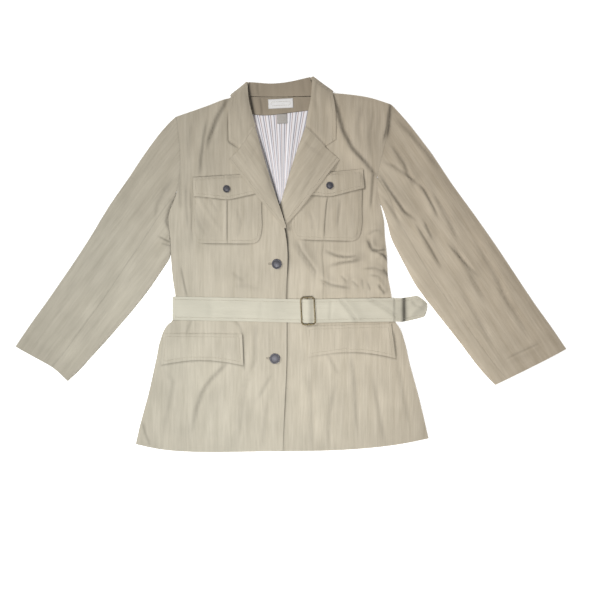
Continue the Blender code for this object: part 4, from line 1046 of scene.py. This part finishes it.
def sleeve(side, folds, grain):
    """Under and upper piece of one sleeve."""
    node = f"sleeve_under_{side}"
    strip = skin_loops(node, 1, SLEEVE_CLEAR)[:1]
    bottom = skin_loops(node, -1, -1.0, 0.5 * MM)[0]
    under_piece = turned_cloth(
        f"{node}_cloth", node, strip, bottom, SLEEVE_STEP, SLEEVE_LOW_STEP, SLEEVE_WALL, folds, [], grain,
        joined=[f"front_{side}_cloth"],
    )
    under_piece.data.materials.append(khaki)
    width, length = flat_size(bottom, grain)
    strip_width = flat_size(strip[0], grain)[0]
    declare(under_piece, node, (width + strip_width / 2, length))
    node = f"sleeve_upper_{side}"
    upper = laid_cloth(
        f"{node}_cloth", node, SLEEVE_STEP, SLEEVE_WALL, folds, [], grain,
        joined=[f"front_{side}_cloth", under_piece.name],
    )
    upper.data.materials.append(khaki)
    declare(upper, node)


sleeve("right", RIGHT_SLEEVE_FOLDS, -36.6)
sleeve("left", LEFT_SLEEVE_FOLDS, 34.2)

# Hip flaps: straight at the top, where they are set into the front, and arched along the lower edge.
# They are topstitched all round and bulge a little over the pockets' openings.
HIP_DROP = 1.4 * MM
hip_folds = {
    "right": [
        Fold(0.9, 9.0, 0.0, ((-150, -152), (-152, -205))),
        Ridge(1.0, 16.0, ((-240, -180), (-205, -182))),
    ],
    "left": [Fold(0.9, 8.0, 0.0, ((96, -135), (94, -180))), Fold(0.8, 8.0, 0.0, ((160, -135), (164, -180)))],
}
for side in ("right", "left"):
    front = f"front_{side}_cloth"
    flap = laid_cloth(
        f"hip_flap_{side}_cloth", f"hip_flap_{side}", SMALL_STEP, SMALL_WALL, hip_folds[side],
        [front], 0.0, 14, "all", drop=HIP_DROP,
    )
    flap.data.materials.append(khaki)
    declare(flap, f"hip_flap_{side}")

# Belt: a band of the same cloth, doubled and stitched along both edges. It runs from the bar round the left
# side, beneath the back, round the right side, over the bar and out past the left side, where its end drops.
BELT_WALL = 1.6 * MM
BELT_HALF = 24.5 * MM
BELT_PITCH = 2.6 * MM
BELT_COLUMNS = 21
BELT_SIDES = (-243.2 * MM, 216.8 * MM)
BELT_START = 42.0 * MM
Station = namedtuple("Station", "x upper lower")
BELT_LINE = [
    Station(-243, -67.9, -116.9), Station(-121, -69.9, -118.9), Station(35, -73.9, -122.9),
    Station(119, -71.9, -120.9), Station(216, -70.9, -119.9), Station(232, -71.0, -121.2),
    Station(247, -68.6, -118.6), Station(264, -65.8, -114.6), Station(270, -68.6, -113.0),
    Station(277, -74.0, -111.2), Station(281, -77.0, -109.6), Station(286, -83.0, -94.0),
]
Drop = namedtuple("Drop", "x height")
BELT_DROP = [Drop(216, 9.4), Drop(230, 9.0), Drop(234, 8.0), Drop(239, 4.2), Drop(246, 3.2), Drop(286, 3.4)]
# The Gap is a painted shadow line where the belt's end drops past the left side.
BELT_FOLDS = [
    Fold(3.0, 5.0, 0.3, ((96, -66), (118, -92), (144, -130))),
    Fold(3.0, 6.0, 0.3, ((150, -66), (190, -88), (238, -120))),
    Fold(1.0, 5.0, 0.0, ((84, -74), (82, -120))),
    Ridge(2.2, 7.0, ((248, -110), (266, -92), (284, -80))),
    Fold(1.4, 5.0, 0.0, ((252, -72), (262, -86), (282, -92))),
    Gap(0.72, 4.2, ((237, -52), (237, -95), (237, -138))),
    Fold(0.7, 9.0, 0.0, ((-170, -70), (-166, -118))),
    Fold(0.7, 9.0, 0.0, ((-60, -72), (-64, -120))),
]
belt_tree = cad_tree("belt")


def belt_at(x):
    """Middle line and half width of the belt at x."""
    stations = [station.x * MM for station in BELT_LINE]
    upper = np.interp(x, stations, [station.upper * MM for station in BELT_LINE])
    lower = np.interp(x, stations, [station.lower * MM for station in BELT_LINE])
    return (upper + lower) / 2, (upper - lower) / 2


def belt_skins(x):
    """Heights of the belt's upper sides under x, from the top down."""
    found, z = [], SKY
    while True:
        hit = belt_tree.ray_cast(Vector((x, belt_at(x)[0], z)), DOWN)[0]
        if hit is None:
            return found[0::2]
        found.append(hit.z)
        z = hit.z - 0.02 * MM


def half_round(x, top, outward):
    """Stations from the top of a side edge round to the table."""
    turns = np.radians(np.linspace(75, -75, 6))
    return [(x + outward * top / 2 * math.cos(turn), top / 2 + top / 2 * math.sin(turn)) for turn in turns]


right_side, left_side = BELT_SIDES[1], BELT_SIDES[0]
under_x = np.arange(BELT_START, right_side, BELT_PITCH)
under_run = [(x, belt_skins(x)[-2]) for x in under_x]
front_x = np.arange(left_side, right_side - 2 * MM, BELT_PITCH)
front_z = np.array([belt_skins(x)[0] for x in front_x])
for _ in range(3):
    front_z[1:-1] = (front_z[:-2] + 2 * front_z[1:-1] + front_z[2:]) / 4
end_x = np.append(np.arange(right_side, 285 * MM, BELT_PITCH), 286 * MM)
end_z = np.interp(end_x, [drop.x * MM for drop in BELT_DROP], [drop.height * MM for drop in BELT_DROP])
low_run = [(x, 0.0) for x in np.arange(right_side, left_side, -BELT_PITCH * 3)]
route = under_run + half_round(right_side, under_run[-1][1], 1) + low_run
route += half_round(left_side, front_z[0], -1)[::-1]
low_count = len(under_run) + 6 + len(low_run) + 6
route += list(zip(front_x, front_z)) + list(zip(end_x, end_z))
shares = np.linspace(-1.0, 1.0, BELT_COLUMNS)
belt_points = np.array([
    (x, belt_at(x)[0] + share * belt_at(x)[1], z) for x, z in route for share in shares
])
outside = np.arange(len(belt_points)) >= low_count * BELT_COLUMNS
edge_share = np.abs(np.tile(shares, len(route)))
belt_shade = np.zeros(len(belt_points))
rise, belt_shade[outside] = relief(BELT_FOLDS, belt_points[outside, :2])
belt_points[outside, 2] += rise
belt_points[outside, 2] -= 0.5 * MM * ease(edge_share[outside], 0.9, 1.0)
belt_faces = []
for row in range(len(route) - 1):
    for column in range(BELT_COLUMNS - 1):
        first = row * BELT_COLUMNS + column
        ring = (first, first + BELT_COLUMNS, first + BELT_COLUMNS + 1, first + 1)
        belt_faces += [(ring[0], ring[1], ring[2]), (ring[0], ring[2], ring[3])]
resting = lifted(
    ["front_left_cloth", "front_right_cloth"], belt_points[outside, :2], belt_points[outside, 2].copy(),
    BELT_WALL,
)
belt_points[outside, 2] = resting
belt_way = np.where(outside, (1 - edge_share) * BELT_HALF / MM, FAR_FROM_SEWING)
belt = cloth_object("belt_cloth", belt_points, belt_faces, BELT_WALL, 90.0, belt_way, belt_shade)
belt.data.materials.append(slubby_weave("pale_belt_weave", "#c9c4b3", "#c0bbaa", "#c6c5b6", "#bab19f"))
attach(belt, "root")
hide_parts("belt")

# Topstitching: khaki sewing thread, one line of lockstitch beside the edges of collar, lapels, flaps, pockets
# and belt. The stitches are drawn a little coarser than real thread so that they show.
STITCH_PITCH = 3.6 * MM
STITCH_LONG = 2.7 * MM
STITCH_WIDE = 0.75 * MM
STITCH_HIGH = 0.35 * MM
Section = namedtuple("Section", "along wide high")
STITCH_FORM = [
    Section(0.0, 0.3, 0.1), Section(0.25, 1.0, 1.0), Section(0.75, 1.0, 1.0), Section(1.0, 0.3, 0.1),
]


def lines_at(points, faces, way, inset):
    """Runs of places on a cloth where the way to its sewn edge is the inset."""
    crossing, beside_edge = {}, {}
    inner = way >= inset
    turned = np.array(faces)
    mixed = inner[turned].any(axis=1) & ~inner[turned].all(axis=1)
    for face in turned[mixed]:
        keys = []
        for a, b in ((face[0], face[1]), (face[1], face[2]), (face[2], face[0])):
            if inner[a] != inner[b]:
                key = (min(a, b), max(a, b))
                share = (inset - way[key[0]]) / (way[key[1]] - way[key[0]])
                crossing[key] = points[key[0]] + share * (points[key[1]] - points[key[0]])
                keys.append(key)
        beside_edge.setdefault(keys[0], []).append(keys[1])
        beside_edge.setdefault(keys[1], []).append(keys[0])
    runs, used = [], set()
    for start in sorted(beside_edge, key=lambda key: (len(beside_edge[key]), key)):
        run = []
        following = [start]
        while following:
            following = [key for key in following if key not in used][:1]
            for key in following:
                used.add(key)
                run.append(crossing[key])
                following = beside_edge[key]
        if len(run) > 3:
            runs.append(np.array(run))
    return runs


def stitch_run(run, pitch=STITCH_PITCH, length=STITCH_LONG):
    """Starts and ends of the stitches along a run of places."""
    for _ in range(4):
        run[1:-1] = (run[:-2] + 2 * run[1:-1] + run[2:]) / 4
    along = np.concatenate([[0.0], np.cumsum(np.linalg.norm(np.diff(run, axis=0), axis=1))])
    starts = np.arange(0.5 * pitch, along[-1] - pitch, pitch)
    one = np.stack([np.interp(starts, along, run[:, k]) for k in range(3)], axis=1)
    two = np.stack([np.interp(starts + length, along, run[:, k]) for k in range(3)], axis=1)
    return list(zip(one, two))


def stitch_mesh(name, stitches):
    """All the stitches as one mesh of small rounded bars."""
    verts, faces = [], []
    for one, two in stitches:
        ahead = two - one
        aside = np.array([-ahead[1], ahead[0], 0.0])
        aside = aside / max(np.linalg.norm(aside), 1e-9)
        start = len(verts)
        for section in STITCH_FORM:
            middle = one + section.along * ahead
            wide = section.wide * STITCH_WIDE / 2
            high = np.array([0.0, 0.0, section.high * STITCH_HIGH])
            verts += [middle - aside * wide, middle + high, middle + aside * wide, middle - 0.2 * high]
        for row in range(len(STITCH_FORM) - 1):
            for k in range(4):
                low, far = start + 4 * row + k, start + 4 * row + (k + 1) % 4
                faces.append((low, low + 4, far + 4, far))
        last = start + 4 * (len(STITCH_FORM) - 1)
        faces += [(start, start + 1, start + 2, start + 3), (last + 3, last + 2, last + 1, last)]
    mesh = bpy.data.meshes.new(name)
    mesh.from_pydata([tuple(vert) for vert in verts], [], faces)
    mesh.shade_smooth()
    made = bpy.data.objects.new(name, mesh)
    bpy.context.scene.collection.objects.link(made)
    return made


def cotton_thread(name, colour, dark):
    """Twisted thread: matt, mottled a little darker and lighter."""
    finish, tree, shader = new_finish(name)
    place = add(tree, "ShaderNodeTexCoord").outputs["Object"]
    twist = add(tree, "ShaderNodeTexNoise", {"Vector": place, "Scale": 1 / (1.2 * MM), "Detail": 2.0})
    shade = add(tree, "ShaderNodeMix", {
        "Factor": twist.outputs["Fac"], "A": linear(dark), "B": linear(colour),
    }, data_type="RGBA")
    tree.links.new(shade.outputs["Result"], shader.inputs["Base Color"])
    shader.inputs["Roughness"].default_value = 0.7
    return finish


stitches = []
for name, (points, faces, way) in sewing.items():
    if way.min() < STITCH_INSET:
        for run in lines_at(points, faces, way, STITCH_INSET):
            stitches += stitch_run(run)
topstitching = stitch_mesh("topstitching_thread", stitches)
topstitching.data.materials.append(cotton_thread("khaki_thread", "#cdc5b2", "#a99f8b"))
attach(topstitching, "root")

# Buttons: four cast pewter-coloured shank buttons with a raised rim and a domed middle, dark in the hollow.
# Each is turned from one profile and sits on its cloth over the place its node had.
Turn = namedtuple("Turn", "radius height")
BUTTON_FORM = [
    Turn(0.30, 0.0), Turn(0.30, 1.2), Turn(0.78, 1.3), Turn(0.94, 1.7), Turn(1.0, 2.3), Turn(0.97, 2.9),
    Turn(0.90, 3.15), Turn(0.82, 3.1), Turn(0.76, 2.75), Turn(0.68, 2.75), Turn(0.50, 3.2), Turn(0.28, 3.6),
    Turn(0.08, 3.75),
]
BUTTON_SIDES = 48


def cast_pewter():
    """Dark cast metal: blackened low down, rubbed bright on the rim and dome."""
    finish, tree, shader = new_finish("antiqued_pewter")
    place = add(tree, "ShaderNodeTexCoord").outputs["Object"]
    grain = add(tree, "ShaderNodeTexNoise", {"Vector": place, "Scale": 1 / (1.5 * MM), "Detail": 4.0})
    relief_way = add(tree, "ShaderNodeAttribute", attribute_name="hollow").outputs["Fac"]
    rubbed = add(tree, "ShaderNodeMath", {
        0: grain.outputs["Fac"], 1: 0.35, 2: relief_way,
    }, operation="MULTIPLY_ADD")
    shade = add(tree, "ShaderNodeMix", {
        "Factor": rubbed.outputs["Value"], "A": linear("#29282a"), "B": linear("#605f65"),
    }, data_type="RGBA")
    tree.links.new(shade.outputs["Result"], shader.inputs["Base Color"])
    dull = add(tree, "ShaderNodeMapRange", {
        "Value": grain.outputs["Fac"], "To Min": 0.42, "To Max": 0.62,
    })
    tree.links.new(dull.outputs["Result"], shader.inputs["Roughness"])
    bump = add(
        tree, "ShaderNodeBump", {"Height": grain.outputs["Fac"], "Strength": 0.3, "Distance": 0.2 * MM}
    )
    tree.links.new(bump.outputs["Normal"], shader.inputs["Normal"])
    shader.inputs["Metallic"].default_value = 0.6
    return finish


def cloth_top(names, x, y, reach):
    """Height of the highest cloth within reach of a place."""
    ring = np.radians(np.arange(0, 360, 45))
    spots = np.array([(x, y)] + [(x + reach * math.cos(turn), y + reach * math.sin(turn)) for turn in ring])
    return max(on_top(tops[name][0], spots, np.full(len(spots), -1.0)).max() for name in names)


pewter = cast_pewter()
button_on = {
    "button_front_upper": ["front_right_cloth"],
    "button_front_lower": ["front_right_cloth"],
    "button_pocket_right": ["chest_flap_right_cloth"],
    "button_pocket_left": ["chest_flap_left_cloth", "lapel_left_cloth"],
}
for node, below in button_on.items():
    low, high = (np.array(corner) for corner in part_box(node))
    radius = (high[0] - low[0]) / 2
    x, y = (low[0] + high[0]) / 2, (low[1] + high[1]) / 2
    rest = cloth_top(below, x, y, 0.3 * radius)
    share = radius / (10.5 * MM)
    bpy.ops.object.select_all(action="DESELECT")
    bpy.ops.mesh.primitive_circle_add(
        vertices=BUTTON_SIDES, radius=BUTTON_FORM[0].radius * radius, fill_type="NGON", location=(x, y, rest)
    )
    button = bpy.context.object
    button.name = f"{node}_metal"
    bpy.ops.object.mode_set(mode="EDIT")
    bpy.ops.mesh.select_all(action="SELECT")
    for row, following in zip(BUTTON_FORM, BUTTON_FORM[1:]):
        rise = (following.height - row.height) * MM * share
        spread = following.radius / row.radius
        bpy.ops.mesh.extrude_region_move(TRANSFORM_OT_translate={"value": (0, 0, rise)})
        bpy.ops.transform.resize(value=(spread, spread, 1.0), center_override=(x, y, rest))
    bpy.ops.object.mode_set(mode="OBJECT")
    bpy.ops.object.transform_apply(location=True, rotation=True, scale=True)
    bpy.ops.object.shade_smooth_by_angle(angle=math.radians(50))
    hollow = button.data.attributes.new("hollow", "FLOAT", "POINT")
    for vert, mark in zip(button.data.vertices, hollow.data):
        out = math.hypot(vert.co.x - x, vert.co.y - y) / radius
        mark.value = 0.75 * (1 - float(ease(abs(out - 0.72), 0.16, 0.0))) if out > 0.05 else 0.75
    button.data.materials.append(pewter)
    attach(button, "root")
    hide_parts(node)

# Buttonholes: two worked in thread on the right front, each a slit from the front edge side of its button
# inwards, covered on both lips with close cross stitches.
HOLE_LONG = 15.0 * MM
HOLE_OFF = 8.0 * MM
HOLE_LIP = 0.5 * MM
cross = []
for node in ("button_front_upper", "button_front_lower"):
    low, high = (np.array(corner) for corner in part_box(node))
    y = (low[1] + high[1]) / 2 + 0.8 * MM
    for x in np.arange(low[0] + HOLE_OFF - HOLE_LONG, low[0] + HOLE_OFF, 0.9 * MM):
        for lip in (-1, 1):
            one = np.array([x, y + lip * HOLE_LIP, 0.0])
            two = np.array([x + 0.15 * MM, y + lip * (HOLE_LIP + 1.5 * MM), 0.0])
            for end in (one, two):
                end[2] = cloth_top(["front_right_cloth"], end[0], end[1], 0.2 * MM)
            cross.append((one, two))
buttonholes = stitch_mesh("buttonhole_thread", cross)
buttonholes.data.materials.append(cotton_thread("buttonhole_thread", "#a3998a", "#7d7465"))
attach(buttonholes, "root")

# Buckle: a rectangle of dark brass wire with rounded corners and a straight bar down its middle.
# One end of the belt is sewn round the bar, and the other end passes over it.
BUCKLE_WIDTH, BUCKLE_HEIGHT = 31.0 * MM, 60.0 * MM
BUCKLE_WIRE, BUCKLE_BAR = 1.5 * MM, 1.2 * MM
BUCKLE_CORNER = 7.0 * MM
BUCKLE_TILT = math.radians(3)


def aged_brass():
    """Brown-black brass wire, rubbed yellow here and there."""
    finish, tree, shader = new_finish("aged_brass")
    place = add(tree, "ShaderNodeTexCoord").outputs["Object"]
    patina = add(tree, "ShaderNodeTexNoise", {"Vector": place, "Scale": 1 / (5 * MM), "Detail": 4.0})
    shade = add(tree, "ShaderNodeMix", {
        "Factor": patina.outputs["Fac"], "A": linear("#5d523e"), "B": linear("#8f8365"),
    }, data_type="RGBA")
    tree.links.new(shade.outputs["Result"], shader.inputs["Base Color"])
    bump = add(
        tree, "ShaderNodeBump", {"Height": patina.outputs["Fac"], "Strength": 0.2, "Distance": 0.2 * MM}
    )
    tree.links.new(bump.outputs["Normal"], shader.inputs["Normal"])
    shader.inputs["Metallic"].default_value = 0.85
    shader.inputs["Roughness"].default_value = 0.4
    return finish


low, high = (np.array(corner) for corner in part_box("buckle"))
centre = tuple((low + high) / 2)
bpy.ops.object.select_all(action="DESELECT")
bpy.ops.mesh.primitive_plane_add(size=1.0, location=centre, rotation=(0, 0, BUCKLE_TILT))
buckle = bpy.context.object
buckle.name = "buckle_wire"
buckle.scale = (BUCKLE_WIDTH - 2 * BUCKLE_WIRE, BUCKLE_HEIGHT - 2 * BUCKLE_WIRE, 1.0)
bpy.ops.object.transform_apply(location=False, rotation=False, scale=True)
bpy.ops.object.mode_set(mode="EDIT")
bpy.ops.mesh.select_all(action="SELECT")
bpy.ops.mesh.bevel(offset=BUCKLE_CORNER, segments=8, affect="VERTICES")
bpy.ops.mesh.delete(type="ONLY_FACE")
bpy.ops.object.mode_set(mode="OBJECT")
bpy.ops.object.convert(target="CURVE")
buckle.data.bevel_depth = BUCKLE_WIRE
buckle.data.bevel_resolution = 5
bpy.ops.object.convert(target="MESH")
buckle = bpy.context.object
bpy.ops.mesh.primitive_cylinder_add(
    vertices=20, radius=BUCKLE_BAR, depth=BUCKLE_HEIGHT - 2 * BUCKLE_WIRE, location=centre,
    rotation=(math.pi / 2, 0, BUCKLE_TILT),
)
buckle.select_set(True)
bpy.context.view_layer.objects.active = buckle
bpy.ops.object.join()
bpy.ops.object.transform_apply(location=True, rotation=True, scale=True)
bpy.ops.object.shade_smooth_by_angle(angle=math.radians(40))
buckle.data.materials.clear()
buckle.data.materials.append(aged_brass())
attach(buckle, "root")
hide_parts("buckle")

# Floor, light and camera: a plain white sheet, a lamp over its lower half, low soft daylight from the left,
# and the camera straight above.
FLOOR = 8.0
CAMERA_AT = (19.3 * MM, -75.0 * MM, 1750 * MM)
LENS, SENSOR = 50.0, 36.0
bpy.ops.object.select_all(action="DESELECT")
bpy.ops.mesh.primitive_plane_add(size=FLOOR, location=(0, 0, -0.0002))
floor = bpy.context.object
floor.name = "floor"
bpy.ops.object.transform_apply(location=True)
white, tree, shader = new_finish("white_floor")
shader.inputs["Base Color"].default_value = linear("#f7f7f6")
shader.inputs["Roughness"].default_value = 0.9
shader.inputs["Emission Color"].default_value = (1.0, 1.0, 1.0, 1.0)
shader.inputs["Emission Strength"].default_value = 0.6
floor.data.materials.append(white)

world = bpy.data.worlds.new("studio")
bpy.context.scene.world = world
world.use_nodes = True
world.node_tree.nodes["Background"].inputs["Color"].default_value = (1.0, 1.0, 1.0, 1.0)
world.node_tree.nodes["Background"].inputs["Strength"].default_value = 0.12
Lamp = namedtuple("Lamp", "name kind place aim soft power")
for lamp in (
    Lamp("overhead", "AREA", (-0.06, -0.28, 0.85), (-0.02, -0.2, 0.0), 0.35, 6.5),
    Lamp("daylight", "SUN", (-1.4, 0.7, 1.2), (0.0, 0.0, 0.0), 0.3, 1.6),
):
    light = bpy.data.lights.new(lamp.name, lamp.kind)
    if lamp.kind == "AREA":
        light.size = lamp.soft
    else:
        light.angle = lamp.soft
    light.energy = lamp.power
    lit = bpy.data.objects.new(lamp.name, light)
    bpy.context.scene.collection.objects.link(lit)
    lit.visible_camera = False
    lit.location = lamp.place
    lit.rotation_euler = (Vector(lamp.aim) - Vector(lamp.place)).to_track_quat("-Z", "Y").to_euler()

lens = bpy.data.cameras.new("camera")
lens.lens = LENS
lens.sensor_width = SENSOR
camera = bpy.data.objects.new("camera", lens)
camera.location = CAMERA_AT
bpy.context.scene.collection.objects.link(camera)
bpy.context.scene.camera = camera
bpy.context.scene.view_settings.view_transform = "Standard"
